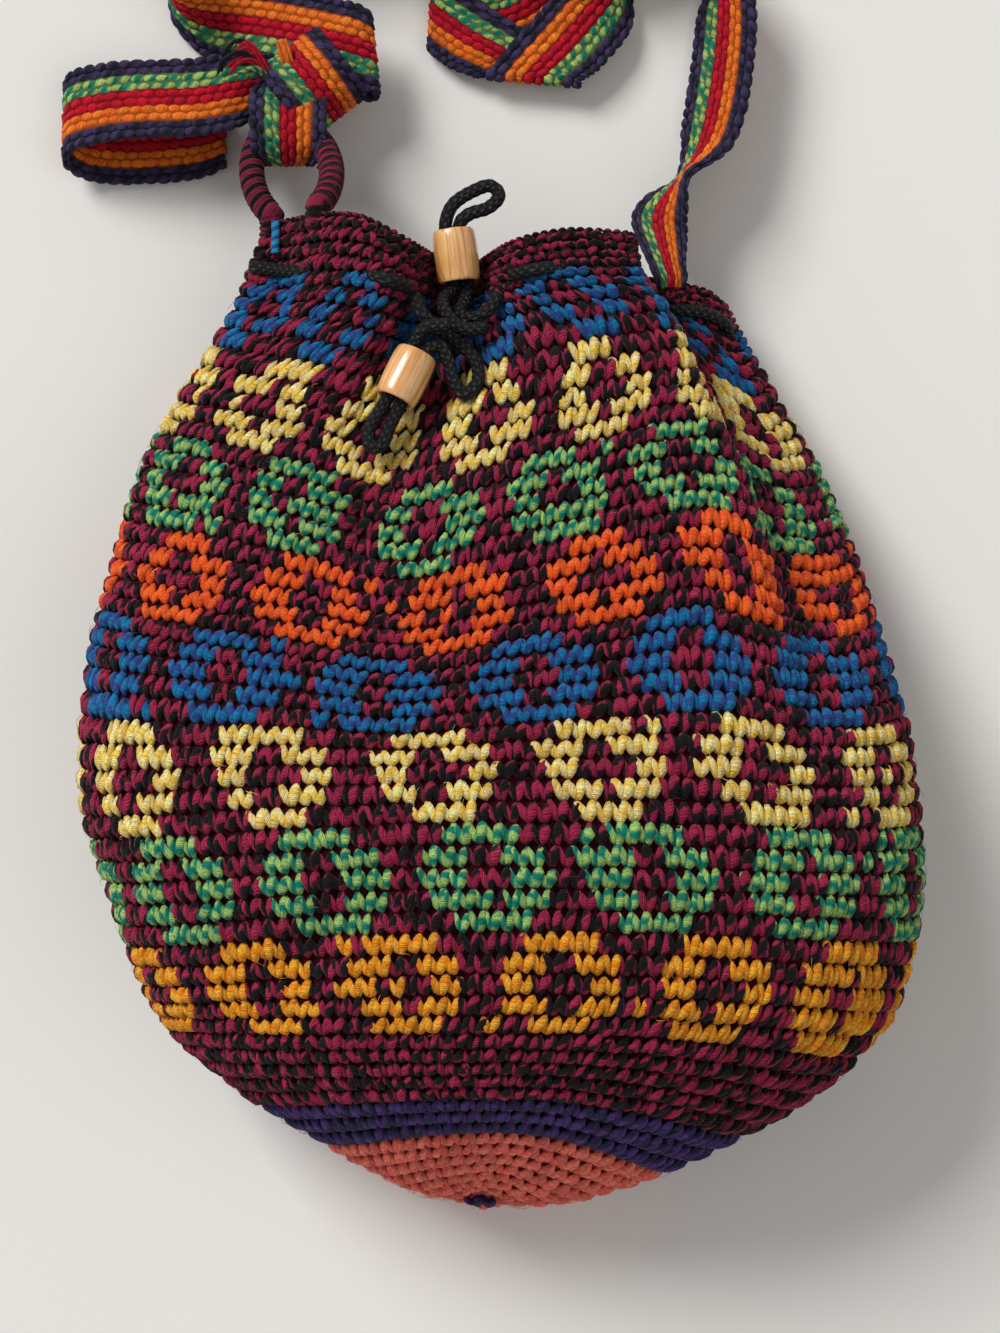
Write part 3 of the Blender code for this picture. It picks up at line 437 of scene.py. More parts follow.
def smooth_route(points: Sequence | np.ndarray, spacing: float) -> np.ndarray:
    """Lay a smooth curve through points.

    Args:
        points: The points. What follows their place, such as a heading, is smoothed along with it.
        spacing: The distance between two points of the curve.

    Returns:
        Points spaced evenly along the curve.
    """
    points = np.asarray(points, dtype=float)
    chord = np.concatenate([[0.0], np.cumsum(np.sqrt(np.linalg.norm(np.diff(points, axis=0), axis=1)))])
    fine = []
    for i in range(len(points) - 1):
        p0, p1, p2 = points[max(i - 1, 0)], points[i], points[i + 1]
        p3 = points[min(i + 2, len(points) - 1)]
        span = chord[i + 1] - chord[i]
        before = chord[i] - chord[max(i - 1, 0)] or span
        after = chord[min(i + 2, len(points) - 1)] - chord[i + 1] or span
        start = ((p1 - p0) / before - (p2 - p0) / (before + span) + (p2 - p1) / span) * span
        end = ((p2 - p1) / span - (p3 - p1) / (span + after) + (p3 - p2) / after) * span
        if i == 0:
            start = p2 - p1
        if i == len(points) - 2:
            end = p2 - p1
        for t in np.linspace(0, 1, CURVE_STEPS, endpoint=False):
            fine.append((2 * t ** 3 - 3 * t ** 2 + 1) * p1 + (t ** 3 - 2 * t ** 2 + t) * start
                        + (3 * t ** 2 - 2 * t ** 3) * p2 + (t ** 3 - t ** 2) * end)
    fine = np.array(fine + [points[-1]])
    length = np.concatenate([[0.0], np.cumsum(np.linalg.norm(np.diff(fine, axis=0), axis=1))])
    count = max(2, int(round(length[-1] / spacing)) + 1)
    at = np.linspace(0, length[-1], count)
    return np.stack([np.interp(at, length, fine[:, k]) for k in range(fine.shape[1])], axis=-1)


def rim_cord_route() -> np.ndarray:
    """Lead the drawstring in and out of the wall, from one side of the valley round to the other.

    Returns:
        The points of its middle line.
    """
    inner = WALL + CORD_GAP + CORD_DIAMETER / 2
    outer = CORD_GAP + CORD_DIAMETER / 2
    turn = np.linspace(CORD_START, CORD_START + CORD_SWEEP, AROUND_DENSE)
    out = np.zeros_like(turn)
    for low, high in OUT_SPANS:
        middle, half = (low + high) / 2, (high - low) / 2
        out = np.maximum(out, 1 - smooth_step(np.abs(turn - middle), half, half + CORD_CROSSING))
    base = wall_surface(turn % 1.0, CORD_ROUND)
    normal = wall_normal(turn % 1.0, CORD_ROUND)
    return smooth_route(base + normal * (out * (outer + inner) - inner)[:, None], CORD_STEP)


def strap_foot() -> tuple[tuple[float, ...], ...]:
    """Lay the strap's sewn end on the outside of the rim.

    Returns:
        Its stations, as in the tables of the strap.
    """
    stations = []
    for x, level, share in STRAP_FOOT:
        point, normal = rim_place(x * MM, level)
        centre = (point + normal * (STRAP_THICKNESS / 2 + GAP)) / MM
        tilt = math.degrees(math.atan2(-normal.x, normal.z))
        stations.append((*centre, 0.0, tilt, share))
    return tuple(stations)


class Yarn(Enum):
    """The yarns of the bag and its strap, each as its two twisted tones in sRGB."""

    GROUND = ((0.065, 0.052, 0.064), (0.59, 0.13, 0.26))
    WRAPPING = ((0.075, 0.052, 0.064), (0.47, 0.11, 0.21))
    BLUE = ((0.04, 0.46, 0.66), (0.18, 0.29, 0.56))
    YELLOW = ((0.97, 0.80, 0.34), (0.99, 0.90, 0.62))
    GREEN = ((0.03, 0.50, 0.42), (0.64, 0.78, 0.43))
    ORANGE = ((0.95, 0.33, 0.12), (0.98, 0.42, 0.16))
    GOLD = ((0.93, 0.56, 0.10), (0.98, 0.69, 0.20))
    CORAL = ((0.98, 0.51, 0.43), (0.94, 0.42, 0.37))
    NAVY = ((0.31, 0.20, 0.45), (0.15, 0.14, 0.27))
    STRAP_NAVY = ((0.13, 0.13, 0.20), (0.26, 0.21, 0.36))
    STRAP_GREEN = ((0.07, 0.50, 0.40), (0.68, 0.78, 0.42))
    STRAP_RED = ((0.82, 0.07, 0.17), (0.72, 0.05, 0.15))
    STRAP_ORANGE = ((1.0, 0.52, 0.16), (0.98, 0.44, 0.13))
    BLACK = ((0.075, 0.070, 0.080), (0.11, 0.10, 0.12))
    CYAN = ((0.20, 0.62, 0.80), (0.16, 0.36, 0.62))


def linear(color: Sequence[float]) -> tuple[float, ...]:
    """Return an sRGB colour, each part from 0 to 1, as linear light."""
    return tuple(c / 12.92 if c <= 0.04045 else ((c + 0.055) / 1.055) ** 2.4 for c in color)


def tones_of(yarns: Sequence[Yarn]) -> list[np.ndarray]:
    """Return the first and the second tone of each yarn, as linear light."""
    return [np.array([linear(yarn.value[k]) for yarn in yarns]) for k in (0, 1)]


class Term:
    """A shader socket that takes part in arithmetic."""

    def __init__(self, shader: "Shader", socket: bpy.types.NodeSocket) -> None:
        """Keep the socket and the shader it belongs to."""
        self.shader = shader
        self.socket = socket

    def maths(self, operation: str, *others: "Term | float") -> "Term":
        """Return this term joined with others by one maths node."""
        return self.shader.node("ShaderNodeMath", (self, *others), operation=operation)

    def __add__(self, other: "Term | float") -> "Term":
        """Return the sum."""
        return self.maths("ADD", other)

    def __sub__(self, other: "Term | float") -> "Term":
        """Return the difference."""
        return self.maths("SUBTRACT", other)

    def __mul__(self, other: "Term | float") -> "Term":
        """Return the product."""
        return self.maths("MULTIPLY", other)

    def sine(self) -> "Term":
        """Return the sine."""
        return self.maths("SINE")

    def power(self, exponent: float) -> "Term":
        """Return a power."""
        return self.maths("POWER", exponent)

    def absolute(self) -> "Term":
        """Return the size without the sign."""
        return self.maths("ABSOLUTE")

    def ease(self, low: float, high: float) -> "Term":
        """Return a smooth step between low and high."""
        return self.shader.node("ShaderNodeMapRange", {"Value": self, "From Min": low, "From Max": high},
                                interpolation_type="SMOOTHSTEP")


class Shader:
    """A material built from nodes round one Principled shader."""

    def __init__(self, name: str) -> None:
        """Start an empty material.

        Args:
            name: The material's name.
        """
        self.material = bpy.data.materials.new(name)
        self.material.use_nodes = True
        self.tree = self.material.node_tree
        self.surface = self.tree.nodes["Principled BSDF"]

    def node(self, kind: str, inputs: dict | tuple = (), output: int | str = 0, **settings: object) -> Term:
        """Add one node of any kind.

        Args:
            kind: The node's type.
            inputs: Values or terms, by input name or in order.
            output: The output that is wanted.
            settings: Properties of the node.

        Returns:
            The wanted output as a term.
        """
        made = self.tree.nodes.new(kind)
        for key, value in settings.items():
            setattr(made, key, value)
        pairs = inputs.items() if isinstance(inputs, dict) else enumerate(inputs)
        for key, value in pairs:
            if isinstance(value, Term):
                self.tree.links.new(value.socket, made.inputs[key])
            else:
                made.inputs[key].default_value = value
        return Term(self, made.outputs[output])

    def attribute(self, name: str, output: str = "Fac") -> Term:
        """Read an attribute of the mesh."""
        return self.node("ShaderNodeAttribute", output=output, attribute_name=name)

    def course(self) -> tuple[Term, Term]:
        """Read how far a point lies along and round its yarn.

        Returns:
            The turns of the course along and the share of the way round.
        """
        place = self.node("ShaderNodeUVMap", uv_map="UVMap")
        split = self.tree.nodes.new("ShaderNodeSeparateXYZ")
        self.tree.links.new(place.socket, split.inputs[0])
        return Term(self, split.outputs[0]), Term(self, split.outputs[1])

    def noise(self, place: Term, scale: float, detail: float, **inputs: float) -> Term:
        """Return an even noise at a place."""
        return self.node("ShaderNodeTexNoise", {"Vector": place, "Scale": scale, "Detail": detail, **inputs})

    def mix(self, share: Term | float, first: object, second: object, blend: str = "MIX") -> Term:
        """Mix two colours.

        Args:
            share: The second colour's share.
            first: The first colour.
            second: The second colour.
            blend: The way to mix them.

        Returns:
            The mixed colour.
        """
        made = self.tree.nodes.new("ShaderNodeMix")
        made.data_type = "RGBA"
        made.blend_type = blend
        for index, value in ((0, share), (6, first), (7, second)):
            if isinstance(value, Term):
                self.tree.links.new(value.socket, made.inputs[index])
            else:
                made.inputs[index].default_value = value
        return Term(self, made.outputs[2])

    def bump(self, height: Term, strength: float, distance: float) -> Term:
        """Turn a height into a normal."""
        return self.node("ShaderNodeBump", {"Height": height, "Strength": strength, "Distance": distance})

    def dress(self, **sockets: object) -> bpy.types.Material:
        """Set the Principled shader's sockets.

        Args:
            sockets: Values or terms by socket name, with _ for each space.

        Returns:
            The finished material.
        """
        for key, value in sockets.items():
            target = self.surface.inputs[key.replace("_", " ")]
            if isinstance(value, Term):
                self.tree.links.new(value.socket, target)
            else:
                target.default_value = value
        return self.material


@dataclass(frozen=True)
class YarnFinish:
    """Twisted yarn whose two tones, phase and course come from the mesh."""

    name: str
    twist: float = 0.8
    plies: float = 1.0
    strands: float = 3.0
    fibres: float = 9.0
    edge: float = 0.30
    roughness: float = 0.88
    fuzz: float = 0.05
    gloss: float = 0.13
    cloud_scale: float = 420.0
    cloud_share: float = 0.25
    wear_scale: float = 1500.0
    wear_share: float = 0.9
    strand_share: float = 0.14
    level: float = 0.98
    bump_strength: float = 0.8
    bump_depth: float = 0.45 * MM

    def make(self) -> bpy.types.Material:
        """Dress the twist, its plies and its fibres.

        Returns:
            The yarn's material.
        """
        shader = Shader(self.name)
        along, around = shader.course()
        place = shader.node("ShaderNodeTexCoord", output="Object")
        cloud = shader.noise(place, self.cloud_scale, 2.0)
        turn = around * self.plies + along * self.twist + shader.attribute("phase")
        ply = ((turn + cloud * self.cloud_share) * TAU).sine().ease(-self.edge, self.edge)
        tone = shader.mix(ply, shader.attribute("tone_a", "Color"), shader.attribute("tone_b", "Color"))
        wear = shader.noise(place, self.wear_scale, 3.0)
        strands = ((turn * self.strands + along * 1.5) * TAU).sine()
        light = (wear - 0.5) * self.wear_share + strands * self.strand_share + self.level
        shade = shader.node("ShaderNodeCombineColor", (light, light, light))
        hair = ((turn * self.fibres + along * 2.0 + wear * 0.6) * TAU).sine()
        groove = (turn * TAU).sine().absolute().power(0.5)
        normal = shader.bump(hair * 0.35 + groove + wear * 1.6, self.bump_strength, self.bump_depth)
        return shader.dress(Base_Color=shader.mix(1.0, tone, shade, "MULTIPLY"), Roughness=self.roughness,
                            Normal=normal, Sheen_Weight=self.fuzz, Sheen_Roughness=0.5,
                            Specular_IOR_Level=self.gloss)


@dataclass(frozen=True)
class GapShadeFinish:
    """The dark depth between the stitches, as painted shade."""

    name: str = "stitch_depth"

    def make(self) -> bpy.types.Material:
        """Dress the depth in the mesh's own tones, which come darkened as painted shade.

        Returns:
            The painted shade's material.
        """
        shader = Shader(self.name)
        cloud = shader.noise(shader.node("ShaderNodeTexCoord", output="Object"), 260.0, 4.0)
        tone = shader.mix(cloud, shader.attribute("tone_a", "Color"), shader.attribute("tone_b", "Color"))
        return shader.dress(Base_Color=tone, Roughness=0.95, Specular_IOR_Level=0.1,
                            Normal=shader.bump(cloud, 0.6, 0.8 * MM))


@dataclass(frozen=True)
class BraidFinish:
    """A fine round braid of black strands, with painted shade in the crevices between them."""

    name: str = "black_braid"
    strands: float = 3.0
    # Near-black colour painted as shade in the crevices between the strands
    crevice_shade: tuple[float, float, float] = (0.012, 0.012, 0.014)
    strand: tuple[float, float, float] = (0.125, 0.12, 0.13)

    def make(self) -> bpy.types.Material:
        """Dress the strands that cross each other, with painted shade in the crevices where they part.

        Returns:
            The braid's material.
        """
        shader = Shader(self.name)
        along, around = shader.course()
        left = ((around * self.strands + along) * TAU).sine().absolute()
        right = ((around * self.strands - along) * TAU).sine().absolute()
        weave = left.maths("MINIMUM", right)
        # Painted shade: the crevice colour where the strands part, the strand colour on their crowns
        tone = shader.mix(weave, (*linear(self.crevice_shade), 1.0), (*linear(self.strand), 1.0))
        return shader.dress(Base_Color=tone, Roughness=0.55, Specular_IOR_Level=0.25,
                            Normal=shader.bump(weave, 1.0, 0.8 * MM))


@dataclass(frozen=True)
class WoodFinish:
    """Honey wood with a lengthwise grain under a clear coat."""

    name: str = "honey_wood"
    honey: tuple[float, float, float] = (0.86, 0.62, 0.36)
    pale: tuple[float, float, float] = (0.93, 0.74, 0.49)
    grain: tuple[float, float, float] = (0.76, 0.50, 0.26)
    stretch: tuple[float, float, float] = (620.0, 620.0, 34.0)

    def make(self) -> bpy.types.Material:
        """Dress the grain and the clear coat.

        Returns:
            The wood's material.
        """
        shader = Shader(self.name)
        place = shader.attribute("grain", "Vector")
        stretched = shader.node("ShaderNodeMapping", {"Vector": place, "Scale": self.stretch})
        grain = shader.noise(stretched, 1.0, 4.0, Distortion=0.6)
        broad = shader.noise(place, 90.0, 2.0).ease(0.35, 0.7)
        base = shader.mix(broad, (*linear(self.honey), 1.0), (*linear(self.pale), 1.0))
        tone = shader.mix(grain.ease(0.42, 0.66), base, (*linear(self.grain), 1.0))
        return shader.dress(Base_Color=tone, Roughness=0.32, Coat_Weight=0.8, Coat_Roughness=0.12,
                            Normal=shader.bump(grain, 0.12, 0.2 * MM))


@dataclass(frozen=True)
class FloorFinish:
    """Plain pale cotton."""

    name: str = "pale_cloth"
    dim: tuple[float, float, float] = (0.90, 0.89, 0.87)
    pale: tuple[float, float, float] = (0.95, 0.94, 0.92)

    def make(self) -> bpy.types.Material:
        """Dress the cotton.

        Returns:
            The floor's material.
        """
        shader = Shader(self.name)
        place = shader.node("ShaderNodeTexCoord", output="Object")
        tone = shader.mix(shader.noise(place, 3.0, 3.0), (*linear(self.dim), 1.0), (*linear(self.pale), 1.0))
        weave = shader.bump(shader.noise(place, 900.0, 2.0), 0.15, 0.4 * MM)
        return shader.dress(Base_Color=tone, Roughness=0.95, Normal=weave)


def mesh_from(name: str, points: np.ndarray, faces: np.ndarray, material: bpy.types.Material,
              courses: np.ndarray | None = None) -> bpy.types.Object:
    """Make a smooth mesh object from arrays.

    Args:
        name: The object's name.
        points: The points, in metres.
        faces: Four or three point numbers a row.
        material: The object's material.
        courses: The course along and round the yarn at each point, for the UV map.

    Returns:
        The new object, linked to the scene.
    """
    mesh = bpy.data.meshes.new(name)
    sides = faces.shape[1]
    mesh.vertices.add(len(points))
    mesh.vertices.foreach_set("co", np.asarray(points, dtype=np.float32).ravel())
    mesh.loops.add(faces.size)
    mesh.loops.foreach_set("vertex_index", faces.astype(np.int32).ravel())
    mesh.polygons.add(len(faces))
    mesh.polygons.foreach_set("loop_start", np.arange(0, faces.size, sides, dtype=np.int32))
    mesh.update(calc_edges=True)
    if courses is not None:
        corners = courses[faces]
        around = corners[..., 1]
        crossing = (around.max(axis=1) - around.min(axis=1) > 0.5)[:, None] & (around < 0.5)
        corners[..., 1] = around + crossing
        layer = mesh.uv_layers.new(name="UVMap")
        layer.data.foreach_set("uv", corners.astype(np.float32).ravel())
    return show(name, mesh, material)


def show(name: str, mesh: bpy.types.Mesh, material: bpy.types.Material) -> bpy.types.Object:
    """Link a mesh to the scene as a smooth object.

    Args:
        name: The object's name.
        mesh: The mesh.
        material: The object's material.

    Returns:
        The new object.
    """
    mesh.polygons.foreach_set("use_smooth", np.ones(len(mesh.polygons), dtype=bool))
    mesh.materials.clear()
    mesh.materials.append(material)
    made = bpy.data.objects.new(name, mesh)
    bpy.context.scene.collection.objects.link(made)
    return made


def set_attribute(mesh: bpy.types.Mesh, name: str, kind: str, values: np.ndarray) -> None:
    """Store one value for each point of a mesh.

    Args:
        mesh: The mesh.
        name: The attribute's name.
        kind: FLOAT, FLOAT_VECTOR or FLOAT_COLOR.
        values: The values, one row for each point.
    """
    made = mesh.attributes.new(name, kind, "POINT")
    field_name = {"FLOAT": "value", "FLOAT_VECTOR": "vector", "FLOAT_COLOR": "color"}[kind]
    made.data.foreach_set(field_name, np.asarray(values, dtype=np.float32).ravel())


def set_tones(mesh: bpy.types.Mesh, first: np.ndarray, second: np.ndarray, phase: np.ndarray) -> None:
    """Store the yarn's tones at each point of a mesh.

    Args:
        mesh: The mesh.
        first: The first tone of each point.
        second: The second tone of each point.
        phase: The phase of the twist at each point.
    """
    for name, tones in (("tone_a", first), ("tone_b", second)):
        set_attribute(mesh, name, "FLOAT_COLOR", np.concatenate([tones, np.ones((len(tones), 1))], axis=1))
    set_attribute(mesh, "phase", "FLOAT", phase)


def grid_faces(rows: int, columns: int) -> np.ndarray:
    """Join rings of points.

    Args:
        rows: The number of rings.
        columns: The number of points in each ring.

    Returns:
        The quads, four point numbers a row.
    """
    row, place = np.meshgrid(np.arange(rows - 1), np.arange(columns), indexing="ij")
    following = (place + 1) % columns
    return np.stack([row * columns + place, row * columns + following,
                     (row + 1) * columns + following, (row + 1) * columns + place], axis=-1).reshape(-1, 4)


@dataclass
class Repeater:
    """Repeats one small form at many places with Geometry Nodes, and returns one plain mesh."""

    name: str
    template: bpy.types.Object
    material: bpy.types.Material
    size: float = 1.0
    jitter: float = 0.0
    seed: int = SEED
    identifiers: dict[str, str] = field(default_factory=dict)

    def _tree(self) -> bpy.types.NodeTree:
        """Build the node tree with its named inputs.

        Returns:
            The tree.
        """
        tree = bpy.data.node_groups.new(self.name + "_tree", "GeometryNodeTree")
        face = tree.interface
        face.new_socket("Geometry", in_out="INPUT", socket_type="NodeSocketGeometry")
        sockets = (("Form", "Object"), ("Finish", "Material"), ("Size", "Float"), ("Jitter", "Float"),
                   ("Seed", "Int"))
        for label, kind in sockets:
            socket = face.new_socket(label, in_out="INPUT", socket_type="NodeSocket" + kind)
            self.identifiers[label] = socket.identifier
        face.new_socket("Geometry", in_out="OUTPUT", socket_type="NodeSocketGeometry")
        nodes, links = tree.nodes, tree.links
        group_in, group_out = nodes.new("NodeGroupInput"), nodes.new("NodeGroupOutput")
        form = nodes.new("GeometryNodeObjectInfo")
        links.new(group_in.outputs["Form"], form.inputs["Object"])
        reads = {}
        for label in ("turn", "size"):
            reads[label] = nodes.new("GeometryNodeInputNamedAttribute")
            reads[label].data_type = "FLOAT_VECTOR"
            reads[label].inputs["Name"].default_value = label
        spread = nodes.new("FunctionNodeRandomValue")
        spread.data_type = "FLOAT_VECTOR"
        links.new(group_in.outputs["Seed"], spread.inputs["Seed"])
        negative = nodes.new("ShaderNodeMath")
        negative.operation = "MULTIPLY"
        negative.inputs[1].default_value = -1.0
        links.new(group_in.outputs["Jitter"], negative.inputs[0])
        links.new(negative.outputs[0], spread.inputs["Min"])
        links.new(group_in.outputs["Jitter"], spread.inputs["Max"])
        turned = nodes.new("ShaderNodeVectorMath")
        links.new(reads["turn"].outputs["Attribute"], turned.inputs[0])
        links.new(spread.outputs["Value"], turned.inputs[1])
        scaled = nodes.new("ShaderNodeVectorMath")
        scaled.operation = "SCALE"
        links.new(reads["size"].outputs["Attribute"], scaled.inputs[0])
        links.new(group_in.outputs["Size"], scaled.inputs["Scale"])
        repeat = nodes.new("GeometryNodeInstanceOnPoints")
        links.new(group_in.outputs["Geometry"], repeat.inputs["Points"])
        links.new(form.outputs["Geometry"], repeat.inputs["Instance"])
        links.new(turned.outputs[0], repeat.inputs["Rotation"])
        links.new(scaled.outputs[0], repeat.inputs["Scale"])
        real = nodes.new("GeometryNodeRealizeInstances")
        dressed = nodes.new("GeometryNodeSetMaterial")
        links.new(repeat.outputs["Instances"], real.inputs["Geometry"])
        links.new(real.outputs["Geometry"], dressed.inputs["Geometry"])
        links.new(group_in.outputs["Finish"], dressed.inputs["Material"])
        links.new(dressed.outputs["Geometry"], group_out.inputs["Geometry"])
        return tree

    def mesh(self, places: np.ndarray, turns: np.ndarray, sizes: np.ndarray, first: np.ndarray,
             second: np.ndarray, phase: np.ndarray) -> bpy.types.Mesh:
        """Repeat the form, and remove it when that is done.

        Args:
            places: Where each copy goes.
            turns: Each copy's turn, as angles round X, Y and Z.
            sizes: Each copy's size along X, Y and Z.
            first: Each copy's first tone.
            second: Each copy's second tone.
            phase: Each copy's phase of the twist.

        Returns:
            The copies as one mesh with a plain material.
        """
        points = bpy.data.meshes.new(self.name + "_places")
        points.vertices.add(len(places))
        points.vertices.foreach_set("co", np.asarray(places, dtype=np.float32).ravel())
        set_attribute(points, "turn", "FLOAT_VECTOR", turns)
        set_attribute(points, "size", "FLOAT_VECTOR", sizes)
        set_tones(points, first, second, phase)
        holder = bpy.data.objects.new(self.name + "_places", points)
        bpy.context.scene.collection.objects.link(holder)
        modifier = holder.modifiers.new("Repeat", "NODES")
        modifier.node_group = self._tree()
        for label, value in (("Form", self.template), ("Finish", self.material), ("Size", self.size),
                             ("Jitter", self.jitter), ("Seed", self.seed)):
            modifier[self.identifiers[label]] = value
        graph = bpy.context.evaluated_depsgraph_get()
        made = bpy.data.meshes.new_from_object(holder.evaluated_get(graph), depsgraph=graph)
        holder.modifiers.remove(modifier)
        bpy.data.objects.remove(holder, do_unlink=True)
        bpy.data.objects.remove(self.template, do_unlink=True)
        made.name = self.name
        return made


def bend(mesh: bpy.types.Mesh, rule: Callable[[np.ndarray], np.ndarray]) -> None:
    """Move each point of a mesh.

    Args:
        mesh: The mesh.
        rule: A rule from all the points to where they go.
    """
    points = np.empty(len(mesh.vertices) * 3, dtype=np.float32)
    mesh.vertices.foreach_get("co", points)
    moved = rule(points.reshape(-1, 3).astype(float))
    mesh.vertices.foreach_set("co", moved.astype(np.float32).ravel())
    mesh.update()


def spindle(name: str, centres: np.ndarray, radii: np.ndarray, sides: int) -> bpy.types.Object:
    """Make one closed strand as a template, pointed at both ends.

    Args:
        name: The template's name.
        centres: The middle line's points, ends included.
        radii: The strand's half width and half height at each point between the ends.
        sides: The number of sides.

    Returns:
        The template object, which isn't rendered, since the repeater removes it.
    """
    inner = centres[1:-1]
    along = np.gradient(centres, axis=0)[1:-1]
    along /= np.linalg.norm(along, axis=1, keepdims=True)
    across = np.cross(along, (0.0, 0.0, 1.0))
    across /= np.linalg.norm(across, axis=1, keepdims=True)
    up = np.cross(across, along)
    angles = np.arange(sides) / sides * TAU
    rings = (inner[:, None] + across[:, None] * (np.cos(angles)[None, :, None] * radii[:, :1, None])
             + up[:, None] * (np.sin(angles)[None, :, None] * radii[:, 1:, None]))
    points = [tuple(centres[0])] + [tuple(point) for ring in rings for point in ring] + [tuple(centres[-1])]
    faces = []
    rows = len(inner)
    for side in range(sides):
        following = (side + 1) % sides
        faces.append((0, 1 + following, 1 + side))
        for row in range(rows - 1):
            low, high = 1 + row * sides, 1 + (row + 1) * sides
            faces.append((low + side, low + following, high + following, high + side))
        last = 1 + (rows - 1) * sides
        faces.append((last + side, last + following, len(points) - 1))
    mesh = bpy.data.meshes.new(name)
    mesh.from_pydata(points, [], faces)
    layer = mesh.uv_layers.new(name="UVMap")
    for face in mesh.polygons:
        places = [(index - 1) % sides / sides for index in face.vertices if 0 < index < len(points) - 1]
        for corner, index in zip(face.loop_indices, face.vertices):
            if index in (0, len(points) - 1):
                layer.data[corner].uv = (0.0 if index == 0 else 1.0, max(places))
                continue
            place = (index - 1) % sides / sides
            place += 1.0 if place < 0.5 and max(places) - min(places) > 0.5 else 0.0
            layer.data[corner].uv = ((1 + (index - 1) // sides) / (rows + 1), place)
    mesh.polygons.foreach_set("use_smooth", np.ones(len(mesh.polygons), dtype=bool))
    made = bpy.data.objects.new(name, mesh)
    bpy.context.scene.collection.objects.link(made)
    return made


def tube(route: np.ndarray, radius: float, sides: int, pitch: float,
         swell: Callable[[np.ndarray, np.ndarray], np.ndarray] | None = None) -> tuple:
    """Return a tube's points, faces and courses along a route.

    Args:
        route: The middle line's points.
        radius: The tube's radius.
        sides: The number of sides.
        pitch: The length that counts as one turn of the course.
        swell: A rule from course and angle to a factor on the radius.

    Returns:
        Points, faces and courses.
    """
    along = np.gradient(route, axis=0)
    along /= np.linalg.norm(along, axis=1, keepdims=True)
    side = np.empty_like(along)
    start = np.cross(along[0], (0.0, 0.0, 1.0))
    if np.linalg.norm(start) < 0.2:
        start = np.cross(along[0], (1.0, 0.0, 0.0))
    side[0] = start / np.linalg.norm(start)
    for i in range(1, len(route)):
        kept = side[i - 1] - along[i] * np.dot(side[i - 1], along[i])
        side[i] = kept / np.linalg.norm(kept)
    up = np.cross(side, along)
    course = np.concatenate([[0.0], np.cumsum(np.linalg.norm(np.diff(route, axis=0), axis=1))]) / pitch
    angles = np.arange(sides) / sides
    sizes = np.full((len(route), sides), radius)
    if swell is not None:
        sizes = sizes * swell(course[:, None], angles[None, :])
    points = (route[:, None] + side[:, None] * (np.cos(angles * TAU)[None, :] * sizes)[:, :, None]
              + up[:, None] * (np.sin(angles * TAU)[None, :] * sizes)[:, :, None]).reshape(-1, 3)
    courses = np.stack([np.repeat(course, sides), np.tile(angles, len(route))], axis=-1)
    body = grid_faces(len(route), sides)
    ends = len(points)
    points = np.vstack([points, route[0], route[-1]])
    courses = np.vstack([courses, [course[0], 0.0], [course[-1], 0.0]])
    ring, last = np.arange(sides), (len(route) - 1) * sides
    following = np.roll(ring, -1)
    caps = np.vstack([np.stack([following, ring, np.full(sides, ends)], axis=-1),
                      np.stack([last + ring, last + following, np.full(sides, ends + 1)], axis=-1)])
    return points, (body, caps), courses


def tube_object(name: str, parts: Sequence[tuple], material: bpy.types.Material,
                tones: Sequence[Yarn] | None = None) -> bpy.types.Object:
    """Join tubes into one object, each in its own yarn.

    Args:
        name: The object's name.
        parts: The tubes, as tube() returns them.
        material: The object's material.
        tones: The yarn of each tube.

    Returns:
        The new object.
    """
    points = np.vstack([part[0] for part in parts])
    starts = np.concatenate([[0], np.cumsum([len(part[0]) for part in parts])])[:-1]
    quads = np.vstack([part[1][0] + start for part, start in zip(parts, starts)])
    triangles = np.vstack([part[1][1] + start for part, start in zip(parts, starts)])
    halves = np.vstack([quads[:, [0, 1, 2]], quads[:, [0, 2, 3]], triangles])
    courses = np.vstack([part[2] for part in parts])
    made = mesh_from(name, points, halves, material, courses)
    if tones is not None:
        counts = [len(part[0]) for part in parts]
        first, second = (np.repeat(tone, counts, axis=0) for tone in tones_of(tones))
        set_tones(made.data, first, second, np.repeat(np.arange(len(parts)) * PHASE_STEP, counts))
    return made


def attach(piece: bpy.types.Object, body: str, slot: str, *nodes: str) -> bpy.types.Object:
    """Tie a piece to its body, and hide the solids that it stands for.

    Args:
        piece: The piece.
        body: The body it moves with.
        slot: The record's material slot; not used.
        nodes: The solids that it replaces.

    Returns:
        The piece.
    """
    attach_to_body(piece, body)
    if nodes:
        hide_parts(*nodes)
    LOG.info("%s: %d faces on %s", piece.name, len(piece.data.polygons), body)
    return piece


@dataclass
class Camera:
    """The camera that looks straight down on the bag."""

    middle: tuple[float, float] = (0.0, 16.7 * MM)
    height: float = 950 * MM
    lens: float = 77.8
    sensor: float = 36.0

    def build(self) -> None:
        """Put the camera over the bag, with the bag's mouth at the top of the picture."""
        data = bpy.data.cameras.new("camera")
        data.sensor_fit = "VERTICAL"
        data.sensor_height = self.sensor
        data.lens = self.lens
        made = bpy.data.objects.new("camera", data)
        made.location = (*self.middle, self.height)
        bpy.context.scene.collection.objects.link(made)
        bpy.context.scene.camera = made
        LOG.info("camera: %.0f mm over the floor", self.height / MM)


